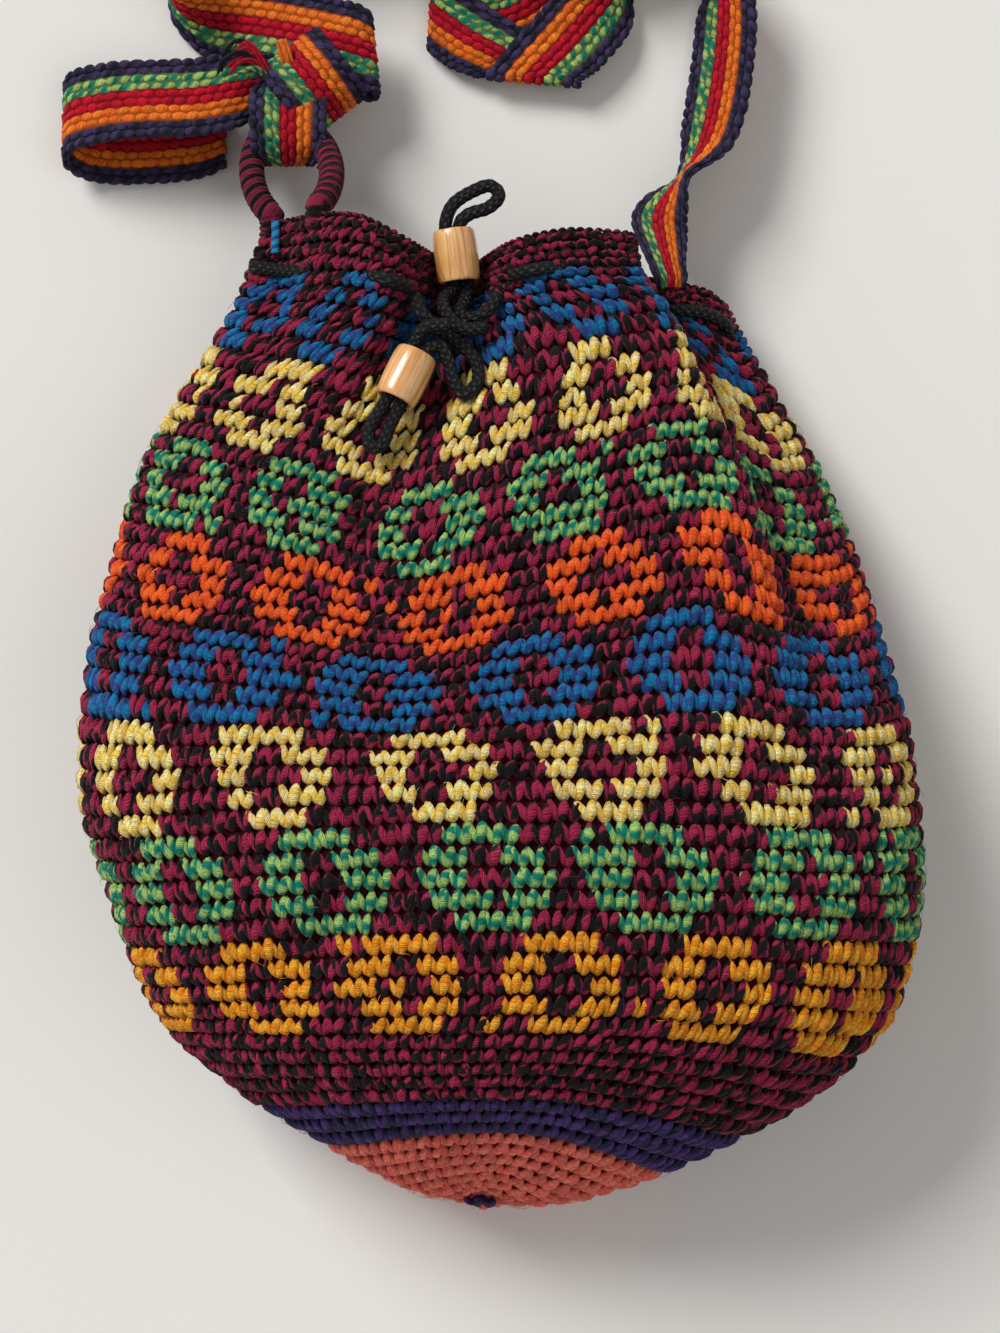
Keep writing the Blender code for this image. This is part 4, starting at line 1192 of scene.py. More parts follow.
@dataclass
class Drawstring:
    """The braided cord in the rim and its two free ends, each through a bead and back."""

    finish: BraidFinish = BraidFinish()
    spacing: float = 0.7 * MM
    pitch: float = 5.2 * MM
    relief: float = 0.13
    sides: int = 24

    def _swell(self, course: np.ndarray, angle: np.ndarray) -> np.ndarray:
        """Raise each crossing of the braid.

        Args:
            course: The turns of the braid along the cord.
            angle: The share of the way round it.

        Returns:
            The factor on the radius.
        """
        left = np.abs(np.sin((angle * self.finish.strands + course) * TAU))
        right = np.abs(np.sin((angle * self.finish.strands - course) * TAU))
        return 1 - self.relief / 2 + self.relief * np.minimum(left, right)

    def _stretch(self, name: str, route: np.ndarray, material: bpy.types.Material,
                 node: str) -> bpy.types.Object:
        """Make one stretch of the cord in the place of its node."""
        parts = [tube(route, CORD_DIAMETER / 2, self.sides, self.pitch, self._swell)]
        return attach(tube_object(name, parts, material), "bag", "braided_cord", node)

    def build(self, beads: "Beads") -> None:
        """Make the cord's three stretches.

        Args:
            beads: The beads on the free ends; not used.
        """
        material = self.finish.make()
        route = smooth_route(rim_cord_route(), self.spacing)
        self._stretch("braided_cord_in_rim", route, material, "drawstring")
        for side, points in (("upper", UPPER_END), ("lower", LOWER_END)):
            route = smooth_route(np.array(points) * MM, self.spacing)
            piece = self._stretch(f"braided_cord_{side}_end", route, material, f"drawstring_{side}_end")


@dataclass
class Beads:
    """The two turned wooden beads."""

    finish: WoodFinish = WoodFinish()
    steps: int = 48
    sides: int = 64
    lip: float = 0.5 * MM
    shoulder: float = 0.8
    belly: float = 0.6
    made: dict[str, bpy.types.Object] = field(default_factory=dict)

    def _profile(self) -> np.ndarray:
        """Draw the barrel's outline, from the bore over the outside and back.

        Returns:
            Its points, as radius and height.
        """
        outer, end, bore, half = BEAD_DIAMETER / 2, BEAD_END_DIAMETER / 2, BEAD_BORE / 2, BEAD_LENGTH / 2
        angle = np.linspace(math.pi / 2, -math.pi / 2, self.steps)
        rise = np.sign(np.sin(angle)) * np.abs(np.sin(angle)) ** self.shoulder
        side = np.stack([end + (outer - end) * np.cos(angle).clip(0) ** self.belly, half * rise], axis=-1)
        inset = self.lip * 0.3
        top = [(bore, half - self.lip), (bore + inset, half - inset), (bore + self.lip, half)]
        low = [(r, -h) for r, h in top[::-1]]
        return np.vstack([top, side, low])

    def build(self) -> None:
        """Turn both beads."""
        material = self.finish.make()
        profile = self._profile()
        angles = np.arange(self.sides) / self.sides * TAU
        local = np.stack([profile[:, :1] * np.cos(angles), profile[:, :1] * np.sin(angles),
                          np.repeat(profile[:, 1:], self.sides, axis=1)], axis=-1).reshape(-1, 3)
        rows = len(profile)
        faces = grid_faces(rows, self.sides)
        ring = np.arange(self.sides)
        following, last = np.roll(ring, -1), (rows - 1) * self.sides
        faces = np.vstack([faces, np.stack([last + ring, last + following, following, ring], axis=-1)])
        for side, place, axis, body in (("upper", UPPER_BEAD, UPPER_AXIS, "upper_bead"),
                                        ("lower", LOWER_BEAD, LOWER_AXIS, "lower_bead")):
            turn = np.array(Vector(axis).to_track_quat("Z", "Y").to_matrix())
            points = local @ turn.T + np.array(place) * MM
            bead = mesh_from(f"wooden_bead_{side}", points, faces[:, ::-1], material)
            set_attribute(bead.data, "grain", "FLOAT_VECTOR", local + len(self.made) * 0.1)
            attach(bead, body, "turned_wood", f"bead_{side}")
            self.made[side] = bead


@dataclass(frozen=True)
class Band:
    """One band of ring motifs: its rounds, its yarn and where one motif lies on the front."""

    lowest: int
    yarn: Yarn
    motif_x: float


@dataclass
class Crochet:
    """The crocheted wall, stitch by stitch, over a shell darkened as painted shade."""

    stitches: int = 143
    stitch_width: float = 4.2 * MM
    motif_pitch: int = 11
    motif_reach: tuple[float, float] = (3.9, 2.35)
    motif_ring: tuple[float, float] = (0.49, 1.06)
    band_rounds: int = 5
    bands: tuple[Band, ...] = (
        Band(16, Yarn.GOLD, 18.0), Band(21, Yarn.GREEN, -3.8), Band(26, Yarn.YELLOW, -19.5),
        Band(31, Yarn.BLUE, 9.7), Band(36, Yarn.ORANGE, -13.4), Band(41, Yarn.GREEN, 17.0),
        Band(46, Yarn.YELLOW, -39.0), Band(51, Yarn.BLUE, 22.0))
    front: tuple[float, float] = (0.3, 0.7)
    front_places: int = 801
    coral_rounds: int = 8
    navy_rounds: int = 11
    speck_share: float = 0.05
    slant: float = 0.15
    unit: float = 5.6 * MM
    depth: float = 0.6 * MM
    increase: int = 8
    leg_line: tuple[tuple[float, float, float], ...] = (
        (0.60, 0.56, -0.22), (0.52, 0.34, -0.04), (0.38, 0.12, 0.07), (0.20, -0.12, 0.07),
        (0.06, -0.33, -0.04), (-0.04, -0.56, -0.24))
    leg_radii: tuple[tuple[float, float], ...] = ((0.270, 0.19), (0.335, 0.24), (0.325, 0.24), (0.240, 0.18))
    leg_gap: float = 0.03
    stray: tuple[float, float] = (0.16, 0.10)
    widths: tuple[float, float] = (0.88, 0.26)
    lengths_along: tuple[float, float] = (0.92, 0.16)
    heights: tuple[float, float] = (0.85, 0.30)
    shades: tuple[float, float] = (0.80, 0.38)
    marl: float = 0.7
    ground_parts: tuple[tuple[str, int, int], ...] = (
        ("lower", 11, 27), ("middle", 27, 44), ("upper", 44, ROUNDS))
    start_legs: int = 5
    start_size: float = 5.0 * MM
    start_rise: float = 2.2 * MM
    start_yarn: float = 1.1 * MM
    strand_sides: int = 5
    lining_rounds: int = 6
    chain_line: tuple[tuple[float, float, float], ...] = (
        (-0.62, 0.0, -0.16), (-0.36, 0.02, 0.0), (-0.12, 0.05, 0.07), (0.12, 0.05, 0.07),
        (0.36, 0.02, 0.0), (0.62, 0.0, -0.16))
    chain_radii: tuple[tuple[float, float], ...] = ((0.14, 0.14), (0.19, 0.20), (0.19, 0.20), (0.14, 0.14))
    lining_line: tuple[tuple[float, float, float], ...] = (
        (0.30, 0.62, 0.15), (0.26, 0.36, -0.02), (0.18, 0.12, -0.06), (0.10, -0.12, -0.06),
        (0.02, -0.36, -0.02), (-0.02, -0.62, 0.15))
    lining_radii: tuple[tuple[float, float], ...] = ((0.26, 0.18), (0.32, 0.22), (0.32, 0.22), (0.26, 0.18))
    edge_shades: tuple[float, float] = (0.8, 0.4)
    edge_jitter: float = 0.12
    fibre_count: int = 2200
    fibre_reach: float = 0.55
    fibre_bow: tuple[float, float] = (0.22, 0.30)
    fibre_radius: float = 0.011
    fibre_tilt: float = 0.3
    fibre_rise: float = 0.06
    fibre_sizes: tuple[float, float] = (0.5, 1.3)
    shell_columns: int = 240
    shell_step: float = 1.195
    shell_depth: float = 1.5 * MM
    # How far the shell's yarn tones are darkened as painted shade: on the coral rounds, and on the rest
    shell_painted_shade: tuple[float, float] = (0.55, 0.22)
    floor_gap: float = 0.25 * MM
    dense: int = 960
    smoothed_rows: int = 3
    turns: np.ndarray = field(default_factory=lambda: np.zeros(0))
    lengths: list[float] = field(default_factory=list)
    levels: np.ndarray = field(default_factory=lambda: np.arange(0.5, ROUNDS + 0.25, 0.5))
    offsets: dict[int, float] = field(default_factory=dict)

    def _map(self) -> None:
        """Work out where each even share of a round's length lies, smoothed over the rounds nearby."""
        turn = np.linspace(0.0, 1.0, self.dense + 1)
        rows = []
        for level in self.levels:
            steps = np.linalg.norm(np.diff(wall_surface(turn, level), axis=0), axis=1)
            total = np.concatenate([[0.0], np.cumsum(steps)])
            rows.append(np.interp(turn * total[-1], total, turn))
            self.lengths.append(float(total[-1]))
        rows, reach = np.array(rows), self.smoothed_rows
        padded = np.vstack([rows[:1]] * reach + [rows] + [rows[-1:]] * reach)
        self.turns = sum(padded[i:i + len(rows)] for i in range(2 * reach + 1)) / (2 * reach + 1)

    def place(self, share: np.ndarray, level: np.ndarray, height: np.ndarray) -> np.ndarray:
        """Return points on the wall.

        Args:
            share: The share of the way round by length.
            level: The round.
            height: The height over the wall's outside, in metres.

        Returns:
            The points.
        """
        share = share % 1.0 * self.dense
        row = np.clip((level - self.levels[0]) / 0.5, 0, len(self.levels) - 1.001)
        left, low = np.minimum(share.astype(int), self.dense - 1), row.astype(int)
        a, b = share - left, row - low
        turn = ((self.turns[low, left] * (1 - a) + self.turns[low, left + 1] * a) * (1 - b)
                + (self.turns[low + 1, left] * (1 - a) + self.turns[low + 1, left + 1] * a) * b)
        inner = np.clip(level, 0.05, ROUNDS)
        points = wall_surface(turn, inner)
        beyond = np.clip(level - ROUNDS, 0.0, None)[:, None]
        rise = (points - wall_surface(turn, inner - 0.3)) / 0.3
        points = points + rise * beyond + wall_normal(turn, inner) * height[:, None]
        points[:, 2] = np.maximum(points[:, 2], self.floor_gap)
        return points

    def _bend(self, mesh: bpy.types.Mesh, depth: float) -> None:
        """Bend flat strands, in stitches, rounds and units of height, onto the wall at a depth."""
        bend(mesh, lambda p: self.place(p[:, 0] / self.stitches, p[:, 1], p[:, 2] * self.unit - depth))

    def _offset(self, band: Band) -> float:
        """Find the middle of one motif from its place on the front.

        Args:
            band: The band of the motif.

        Returns:
            The stitch there.
        """
        count = self.front_places
        share = np.linspace(*self.front, count)
        points = self.place(share, np.full(count, band.lowest + self.band_rounds / 2), np.zeros(count))
        nearest = share[int(np.argmin(np.abs(points[:, 0] - band.motif_x * MM)))]
        return nearest * self.stitches

    def _yarn_at(self, course: int, stitch: float, chance: float) -> Yarn:
        """Choose the yarn of one stitch.

        Args:
            course: The stitch's round.
            stitch: Its place in the round.
            chance: A random number that lets a few stitches of the ring's yarn show in the ground.

        Returns:
            The yarn.
        """
        if course < self.coral_rounds:
            return Yarn.CORAL
        if course < self.navy_rounds:
            return Yarn.NAVY
        for band in self.bands:
            if band.lowest <= course < band.lowest + self.band_rounds:
                row = course - band.lowest - self.band_rounds // 2
                half = self.motif_pitch / 2
                moved = stitch - self.offsets[band.lowest] + row * self.slant + half
                across = moved % self.motif_pitch - half
                reach = math.hypot(across / self.motif_reach[0], row / self.motif_reach[1])
                if self.motif_ring[0] < reach < self.motif_ring[1] or chance < self.speck_share:
                    return band.yarn
        return Yarn.GROUND

    def _leg(self, side: int) -> bpy.types.Object:
        """Make one leg of the V of a stitch, in shares of a stitch and a round.

        Args:
            side: -1 for the left leg and 1 for the right one.

        Returns:
            The leg, as a template.
        """
        centres = np.array(self.leg_line)
        centres[:, 0] *= side
        label = "left" if side < 0 else "right"
        return spindle(f"stitch_leg_{label}", centres, np.array(self.leg_radii), self.strand_sides)

    def _stitches(self, courses: Sequence[int], wanted: Sequence[Yarn]) -> tuple:
        """List the stitches of some rounds that are worked in some yarns.

        Args:
            courses: The rounds.
            wanted: The yarns.

        Returns:
            Nine arrays with a value for each stitch: its round, its place there, the number of stitches in
            that round and six random numbers. After them comes the list of the stitches' yarns.
        """
        random = np.random.default_rng(SEED)
        rows, yarns = [], []
        for course in range(ROUNDS):
            fitting = round(self.lengths[2 * course] / self.stitch_width)
            count = min(self.stitches, self.increase * (course + 1), fitting)
            draws = random.random((count, 6))
            if course not in courses:
                continue
            for stitch in range(count):
                place = stitch + course % 2 * 0.5
                yarn = self._yarn_at(course, place * self.stitches / count, draws[stitch, 0])
                if yarn in wanted:
                    rows.append((course, place, count, *draws[stitch]))
                    yarns.append(yarn)
        return np.array(rows).T, yarns

    def _courses(self, name: str, courses: Sequence[int], wanted: Sequence[Yarn], finish: YarnFinish,
                 jitter: float = 0.20) -> None:
        """Make the stitches of some rounds that are worked in some yarns, as one piece.

        Args:
            name: The piece's name.
            courses: The rounds.
            wanted: The yarns.
            finish: Their finish.
            jitter: How far each leg may be turned, in radians.
        """
        (course, place, count, _, one, two, three, four, five), yarns = self._stitches(courses, wanted)
        material = finish.make()
        meshes = []
        for side, label, tone, marl in ((-1, "left", three, five), (1, "right", four, one)):
            places = np.stack([(place + (one - 0.5) * self.stray[0]) * self.stitches / count,
                               course + 0.5 + (two - 0.5) * self.stray[1],
                               np.full(len(yarns), side * self.leg_gap)], axis=-1)
            sizes = np.stack([self.stitches / count * (self.widths[0] + self.widths[1] * two),
                              self.lengths_along[0] + self.lengths_along[1] * one,
                              self.heights[0] + self.heights[1] * two], axis=-1)
            shade = (self.shades[0] + self.shades[1] * tone)[:, None]
            tones = [(color * shade).clip(0, 1) for color in tones_of(yarns)]
            phase = np.where(marl < 0.5, 0.0, 0.5) + (marl * 2 % 1.0 - 0.5) * self.marl
            repeater = Repeater(f"{name}_{label}", self._leg(side), material, jitter=jitter, seed=SEED + side)
            meshes.append(repeater.mesh(places, np.zeros_like(places), sizes, *tones, phase))
        piece = join(name, meshes, material)
        self._bend(piece.data, self.depth)
        attach(piece, "bag", "crochet_yarn", "bag_body")

    def _shell(self) -> None:
        """Make the shell that fills the wall under the stitches, in yarn tones darkened as painted shade."""
        columns = self.shell_columns
        share = np.arange(columns) / columns
        rounds = np.arange(0.25, ROUNDS + 0.1, self.shell_step)
        outer, inner = ([self.place(share, np.full(columns, at), np.full(columns, -depth)) for at in order]
                        for order, depth in ((rounds, self.shell_depth), (rounds[::-1], WALL)))
        points = np.vstack(outer + inner)
        total = len(rounds) * 2
        faces = grid_faces(total, columns)
        base = np.array([np.mean(ring, axis=0) for ring in (outer[0], inner[-1])])
        count = len(points)
        points = np.vstack([points, base])
        ring, last = np.arange(columns), (total - 1) * columns
        following = np.roll(ring, -1)
        first_fan = np.stack([following, ring, np.full(columns, count)], axis=-1)
        last_fan = np.stack([last + ring, last + following, np.full(columns, count + 1)], axis=-1)
        halves = np.vstack([faces[:, [0, 1, 2]], faces[:, [0, 2, 3]], first_fan, last_fan])
        piece = mesh_from("wall_shell", points, halves[:, ::-1], GapShadeFinish().make())
        level = np.concatenate([np.repeat(np.concatenate([rounds, rounds[::-1]]), columns), [0.0, 0.0]])
        yarns = [Yarn.CORAL if v < self.coral_rounds else Yarn.NAVY if v < self.navy_rounds else Yarn.GROUND
                 for v in level]
        # Painted shade: the shell shows only between the stitches, so its yarn tones are darkened
        dim = np.where(level < self.coral_rounds, *self.shell_painted_shade)[:, None]
        set_tones(piece.data, *(tone * dim for tone in tones_of(yarns)), np.zeros(len(level)))
        attach(piece, "bag", "crochet_yarn", "bag_body")

    def _start_knot(self) -> None:
        """Make the few dark stitches where the base begins."""
        share, level = np.arange(24) / 24, np.full(24, 0.6)
        centre = self.place(share, level, np.zeros(24)).mean(axis=0)
        out = wall_normal(share, level).mean(axis=0)
        out /= np.linalg.norm(out)
        side = np.cross(out, (0.0, 0.0, 1.0))
        side /= np.linalg.norm(side)
        up = np.cross(side, out)
        parts = []
        for angle in np.arange(self.start_legs) / self.start_legs * TAU:
            spoke = side * math.cos(angle) + up * math.sin(angle)
            points = [centre + spoke * self.start_size * t + out * self.start_rise * math.sin(t * 2.6)
                      for t in np.linspace(0.05, 1.0, 6)]
            parts.append(tube(smooth_route(points, 0.4 * MM), self.start_yarn, 10, 4.0 * MM))
        material = YarnFinish("start_yarn", twist=1.0, edge=0.5).make()
        piece = tube_object("base_start", parts, material, [Yarn.NAVY] * self.start_legs)
        attach(piece, "bag", "crochet_yarn", "bag_body")

    def _edge(self, finish: YarnFinish) -> None:
        """Lay the chain of the last round along the rim, and the stitches that show inside the mouth.

        Args:
            finish: Their finish.
        """
        random = np.random.default_rng(SEED)
        places = [(i, ROUNDS + 0.05 + 0.06 * row, -0.42 * row)
                  for row in (0, 1) for i in range(self.stitches)]
        self._lay("stitches_rim", self.chain_line, self.chain_radii, places, finish, random)
        levels = range(ROUNDS - self.lining_rounds, ROUNDS)
        inside = [(i, level + 0.5, -WALL / self.unit) for level in levels for i in range(self.stitches)]
        self._lay("stitches_inside", self.lining_line, self.lining_radii, inside, finish, random)

    def _lay(self, name: str, line: Table, radii: Table, places: Table, finish: YarnFinish,
             random: np.random.Generator) -> None:
        """Lay strands of the ground yarn.

        Args:
            name: The piece's name.
            line: A strand's middle line, in shares of a stitch and a round.
            radii: Its half width and half height at each point between the ends.
            places: Where each strand goes.
            finish: Their finish.
            random: The source of their shades.
        """
        count = len(places)
        shade = (self.edge_shades[0] + self.edge_shades[1] * random.random(count))[:, None]
        tones = [tone * shade for tone in tones_of([Yarn.GROUND] * count)]
        material = finish.make()
        form = spindle(name + "_form", np.array(line), np.array(radii), self.strand_sides)
        repeater = Repeater(name, form, material, jitter=self.edge_jitter)
        mesh = repeater.mesh(np.array(places), np.zeros((count, 3)), np.ones((count, 3)), *tones,
                             random.random(count))
        self._bend(mesh, self.depth)
        attach(show(name, mesh, material), "bag", "crochet_yarn", "bag_body")

    def _fibres(self) -> None:
        """Scatter the fine loose fibres of the yarn."""
        random = np.random.default_rng(SEED + 1)
        count = self.fibre_count
        level = random.uniform(1.0, ROUNDS, count)
        place = random.uniform(0.0, self.stitches, count)
        tones = tones_of([self._yarn_at(int(v), x, 1.0) for v, x in zip(level, place)])
        bow = np.linspace(-1.0, 1.0, 6)
        height = self.fibre_bow[0] - self.fibre_bow[1] * bow ** 2
        centres = np.stack([bow * self.fibre_reach, 0.10 * np.sin(bow * 2.5), height], axis=-1)
        template = spindle("fibre", centres, np.full((4, 2), self.fibre_radius), 3)
        tilts = [random.normal(0, self.fibre_tilt, count) for _ in range(2)]
        turns = np.stack([*tilts, random.uniform(0, TAU, count)], axis=-1)
        places = np.stack([place, level, np.full(count, self.fibre_rise)], axis=-1)
        material = YarnFinish("loose_fibre", twist=0.0, plies=0.0, strands=0.0, edge=1.0).make()
        sizes = random.uniform(*self.fibre_sizes, (count, 3))
        mesh = Repeater("loose_fibres", template, material).mesh(places, turns, sizes, *tones,
                                                                 random.random(count))
        self._bend(mesh, 0.0)
        attach(show("loose_fibres", mesh, material), "bag", "crochet_yarn", "bag_body")

    def build(self) -> None:
        """Work the shell and the stitches."""
        self._map()
        self.offsets = {band.lowest: self._offset(band) for band in self.bands}
        self._shell()
        ground = YarnFinish("marled_yarn", twist=0.75, edge=0.35)
        bright = YarnFinish("bright_yarn", twist=1.9, edge=0.8)
        plain = YarnFinish("base_yarn", twist=1.2, edge=0.8)
        base = range(1, self.navy_rounds)
        self._courses("stitches_base", base, (Yarn.CORAL, Yarn.NAVY), plain, jitter=0.02)
        for part, low, high in self.ground_parts:
            self._courses(f"stitches_ground_{part}", range(low, high), (Yarn.GROUND,), ground)
        for yarn in (Yarn.BLUE, Yarn.YELLOW, Yarn.GREEN, Yarn.ORANGE, Yarn.GOLD):
            rounds = range(self.navy_rounds, ROUNDS)
            self._courses(f"stitches_rings_{yarn.name.lower()}", rounds, (yarn,), bright)
        self._edge(ground)
        self._start_knot()
        self._fibres()


def join(name: str, meshes: Sequence[bpy.types.Mesh], material: bpy.types.Material) -> bpy.types.Object:
    """Join meshes that share their attributes into one object.

    Args:
        name: The object's name.
        meshes: The meshes.
        material: The object's material.

    Returns:
        The new object.
    """
    objects = [show(f"{name}_{i}", mesh, material) for i, mesh in enumerate(meshes)]
    for item in bpy.context.view_layer.objects:
        item.select_set(item in objects)
    bpy.context.view_layer.objects.active = objects[0]
    bpy.ops.object.join()
    objects[0].name = name
    objects[0].data.name = name
    return objects[0]


@dataclass
class Ribbon:
    """A stretch of the strap: a band along stations, with frames read at any length."""

    stations: np.ndarray

    def __post_init__(self) -> None:
        """Work out the frames."""
        centre = self.stations[:, :3] * MM
        heading, tilt = np.radians(self.stations[:, 3]), np.radians(self.stations[:, 4])
        level = np.cos(tilt)
        self.across = np.stack([level * np.cos(heading), level * np.sin(heading), np.sin(tilt)], axis=-1)
        self.centre = centre
        up = np.cross(self.across, np.gradient(centre, axis=0))
        up /= np.maximum(np.linalg.norm(up, axis=1, keepdims=True), 1e-9)
        for _ in range(2):
            up[1:-1] = up[:-2] + 2 * up[1:-1] + up[2:]
            up /= np.maximum(np.linalg.norm(up, axis=1, keepdims=True), 1e-9)
        self.up = up
        steps = np.linalg.norm(np.diff(centre, axis=0), axis=1)
        self.length = np.concatenate([[0.0], np.cumsum(steps)])

    def place(self, points: np.ndarray) -> np.ndarray:
        """Bend flat points onto the band.

        Args:
            points: The points, as lengths along, across and above the band.

        Returns:
            The places.
        """
        read = [np.stack([np.interp(points[:, 0], self.length, table[:, k]) for k in range(3)], axis=-1)
                for table in (self.centre, self.across, self.up)]
        share = np.interp(points[:, 0], self.length, self.stations[:, 5])[:, None]
        bent = read[0] + read[1] * points[:, 1:2] * share + read[2] * points[:, 2:3]
        bent[:, 2] = np.maximum(bent[:, 2], FLOOR_GAP)
        return bent


@dataclass
class Strap:
    """The striped woven strap: its folded run, its turn round the loop, its tail and its knot."""

    rows: tuple[Yarn, ...] = (
        Yarn.STRAP_NAVY, Yarn.STRAP_NAVY, Yarn.STRAP_GREEN, Yarn.STRAP_GREEN, Yarn.STRAP_RED, Yarn.STRAP_RED,
        Yarn.STRAP_ORANGE, Yarn.STRAP_ORANGE, Yarn.STRAP_NAVY, Yarn.STRAP_NAVY)
    pick: float = 4.1 * MM
    core: float = 1.0 * MM
    rise: float = 0.62 * MM
    core_inset: float = 0.5 * MM
    # How far the band's row tones are darkened as painted shade between the picks
    core_painted_shade: float = 0.35
    half_pick: float = 0.60
    pick_ends: tuple[float, ...] = (1.0, 0.75, 0.28)
    pick_radii: tuple[float, float] = (0.56, 0.95 * MM)
    shades: tuple[float, float] = (0.82, 0.36)
    sizes: tuple[float, float] = (0.88, 0.28)
    fold_radius: float = 1.35
    fold_steps: int = 9
    collar_steps: int = 72
    collar_heading: float = 38.0
    collar_centre: tuple[float, float, float] = (-61.0, 206.0, 14.5)
    collar_radii: tuple[float, float] = (13.0, 12.0)

    def _fold(self, row: Sequence[float], reach: float, low: float) -> np.ndarray:
        """Turn the strap over on itself.

        Args:
            row: The station at which the turn begins.
            reach: How far the turn reaches, in millimetres.
            low: The height at which it ends, in millimetres.

        Returns:
            The stations of the turn.
        """
        angle = np.linspace(0.0, math.pi, self.fold_steps)
        x, y, z, *rest = row
        middle, radius = (z + low) / 2, (z - low) / 2
        turn = [np.full(self.fold_steps, x), y - reach * np.sin(angle), middle + radius * np.cos(angle)]
        return np.stack([*turn, *(np.full(self.fold_steps, value) for value in rest)], axis=-1)

    def _collar(self) -> np.ndarray:
        """Lay the knot's collar, which goes round the run.

        Returns:
            Its stations.
        """
        angle = np.linspace(0.15, TAU - 0.15, self.collar_steps) + math.pi * 1.5
        heading = math.radians(self.collar_heading)
        c, s = math.cos(heading), math.sin(heading)
        across, height = self.collar_radii
        x, y, z = self.collar_centre
        collar = np.stack([x - s * across * np.cos(angle), y + c * across * np.cos(angle),
                           z + height * np.sin(angle), np.full(self.collar_steps, self.collar_heading),
                           np.zeros(self.collar_steps), np.full(self.collar_steps, 0.9)], axis=-1)
        return collar[::-1]

    def _runs(self) -> dict[str, Ribbon]:
        """Lay the strap's stretches.

        Returns:
            The stretches and their names.
        """
        near = smooth_route(strap_foot() + STRAP_NEAR, 1.0)
        middle = np.array(STRAP_MIDDLE)
        first = self._fold(STRAP_FOLD[0], self.fold_radius, middle[0, 2])
        far = smooth_route(STRAP_FAR, 1.0)
        last = middle[-1]
        second = self._fold((last[0], last[1], last[2], last[3], 0.0, 1.0), -self.fold_radius, far[0, 2])
        main = np.vstack([near, first, middle[1:-1], second, far[1:]])
        wrap = smooth_route(STRAP_WRAP, 1.0)
        wrap[:, 5] *= 1.3 + 0.45 * smooth_step(wrap[:, 2], 16, 24)
        return {"main": Ribbon(main), "wrap": Ribbon(wrap),
                "tail": Ribbon(smooth_route(STRAP_TAIL, 1.0)), "collar": Ribbon(self._collar())}

    def _core(self, name: str, ribbon: Ribbon, material: bpy.types.Material) -> bpy.types.Object:
        """Make the flat band under the woven picks, in row tones darkened as painted shade.

        Args:
            name: The piece's name.
            ribbon: The stretch of the strap.
            material: The band's material.

        Returns:
            The new object.
        """
        half = STRAP_WIDTH / 2 - self.core_inset
        side = np.linspace(-half, half, 21)
        edge = np.sqrt(np.clip(1 - (side / half) ** 6, 0.0, 1.0)) * self.core
        upper, lower = np.stack([side, edge], axis=-1), np.stack([side, -edge], axis=-1)
        profile = np.concatenate([upper, lower[-2:0:-1]])
        along = np.arange(0.0, ribbon.length[-1], 2.0 * MM)
        flat = np.column_stack([np.repeat(along, len(profile)), np.tile(profile, (len(along), 1))])
        faces = grid_faces(len(along), len(profile))
        piece = mesh_from(name, ribbon.place(flat), faces, material)
        row = np.clip((flat[:, 1] / STRAP_WIDTH + 0.5) * len(self.rows), 0, len(self.rows) - 1).astype(int)
        # Painted shade: the band shows only between the picks, so its row tones are darkened
        tones = [tone * self.core_painted_shade for tone in tones_of([self.rows[r] for r in row])]
        set_tones(piece.data, *tones, np.zeros(len(row)))
        return piece

    def _picks(self, name: str, ribbon: Ribbon, material: bpy.types.Material) -> bpy.types.Object:
        """Make the woven picks, in brick order on both faces.

        Args:
            name: The piece's name.
            ribbon: The stretch of the strap.
            material: The picks' material.

        Returns:
            The new object.
        """
        random = np.random.default_rng(SEED)
        width = STRAP_WIDTH / len(self.rows)
        count = int(ribbon.length[-1] / self.pick)
        places, yarns = [], []
        for face in (-1, 1):
            for row, yarn in enumerate(self.rows):
                aside = (row + 0.5) * width - STRAP_WIDTH / 2
                for i in range(count):
                    places.append(((i + 0.5 + 0.5 * (row % 2)) * self.pick, aside, face * self.rise))
                    yarns.append(yarn)
        half = self.pick * self.half_pick
        ends = [half * share for share in self.pick_ends]
        centres = np.array([(x, 0, 0) for x in (*(-end for end in ends), *reversed(ends))])
        radii = np.array([(0.66, 0.62), (1.0, 1.0), (1.0, 1.0), (0.66, 0.62)])
        radii = radii * (width * self.pick_radii[0], self.pick_radii[1])
        shade = (self.shades[0] + self.shades[1] * random.random(len(places)))[:, None]
        tones = [(tone * shade).clip(0, 1) for tone in tones_of(yarns)]
        repeater = Repeater(name, spindle("strap_pick", centres, radii, 5), material, jitter=0.10)
        sizes = self.sizes[0] + self.sizes[1] * random.random((len(places), 3))
        mesh = repeater.mesh(np.array(places), np.zeros((len(places), 3)), sizes, *tones,
                             random.random(len(places)))
        bend(mesh, ribbon.place)
        return show(name, mesh, material)

    def build(self) -> None:
        """Weave the strap."""
        picks = YarnFinish("webbing_yarn", twist=1.1, edge=0.6).make()
        core = GapShadeFinish("webbing_core").make()
        for part, ribbon in self._runs().items():
            for piece in (self._core(f"strap_band_{part}", ribbon, core),
                          self._picks(f"strap_weave_{part}", ribbon, picks)):
                attach(piece, "bag", "striped_webbing", "strap")


